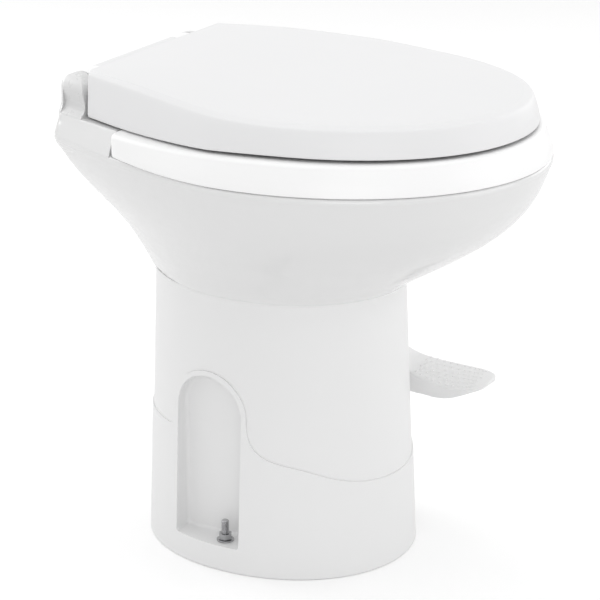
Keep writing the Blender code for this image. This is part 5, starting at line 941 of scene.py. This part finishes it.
# %% The floor
def floor_material():
    made = bpy.data.materials.new("studio_floor")
    made.use_nodes = True
    tree = made.node_tree
    shader = tree.nodes["Principled BSDF"]
    shader.inputs["Base Color"].default_value = (0.86, 0.86, 0.86, 1.0)
    shader.inputs["Roughness"].default_value = 0.9
    glow = tree.nodes.new("ShaderNodeEmission")
    rays = tree.nodes.new("ShaderNodeLightPath")
    seen = math_of(tree, "MULTIPLY", rays.outputs["Is Camera Ray"], 0.18)
    tree.links.new(seen, glow.inputs["Strength"])
    total = tree.nodes.new("ShaderNodeAddShader")
    tree.links.new(shader.outputs[0], total.inputs[0])
    tree.links.new(glow.outputs[0], total.inputs[1])
    tree.links.new(total.outputs[0], tree.nodes["Material Output"].inputs["Surface"])
    return made


bpy.ops.object.select_all(action="DESELECT")
bpy.ops.mesh.primitive_plane_add(size=12.0, location=(0, 0, -0.0002))
floor = bpy.context.object
floor.name = "studio_floor"
floor.data.materials.append(floor_material())


# %% The sky, white where the camera or a gloss sees it
def sky(level):
    world = bpy.data.worlds.new("studio")
    bpy.context.scene.world = world
    world.use_nodes = True
    tree = world.node_tree
    rays = tree.nodes.new("ShaderNodeLightPath")
    seen = math_of(tree, "MAXIMUM", rays.outputs["Is Camera Ray"], rays.outputs["Is Glossy Ray"])
    seen = math_of(tree, "MAXIMUM", seen, rays.outputs["Is Transmission Ray"])
    strength = math_of(tree, "ADD", math_of(tree, "MULTIPLY", seen, 1.0 - level), level)
    tree.links.new(strength, tree.nodes["Background"].inputs["Strength"])
    tree.nodes["Background"].inputs["Color"].default_value = (1.0, 1.0, 1.0, 1.0)


sky(0.72)


# %% Lamps
MIDDLE = Vector((0, 0, 0.25))


def lamp(name, place, size, power):
    bpy.ops.object.light_add(type="AREA", location=place)
    made = bpy.context.object
    made.name = name
    made.data.shape = "RECTANGLE"
    made.data.size, made.data.size_y = size
    made.data.energy = power
    made.rotation_euler = (MIDDLE - Vector(place)).to_track_quat("-Z", "Y").to_euler()
    return made


lamp("left", (-1.60, -1.63, 0.90), (1.6, 2.0), 2.2)
lamp("right", (2.20, 0.59, 0.90), (1.6, 2.0), 8.0)
lamp("front", (1.52, -2.59, 1.00), (1.5, 1.5), 10.5)
lamp("top", (0, 0, 2.60), (2.2, 2.2), 13.0)
lamp("rear left", (-2.53, 0.37, 1.20), (1.6, 1.6), 17.0)
lamp("rear right", (0.92, 2.39, 1.20), (1.6, 1.6), 9.0)

# %% The camera
bpy.ops.object.camera_add(location=(1.19843, -2.07719, 1.09556))
camera = bpy.context.object
turn, drop = math.radians(30.3594), math.radians(19.2777)
gaze = Vector((-math.sin(turn) * math.cos(drop), math.cos(turn) * math.cos(drop), -math.sin(drop)))
camera.rotation_euler = gaze.to_track_quat("-Z", "Y").to_euler()
camera.data.lens = 152.4
camera.data.sensor_width = 36.0
camera.data.clip_end = 50.0
bpy.context.scene.camera = camera
bpy.context.scene.view_settings.view_transform = "Standard"
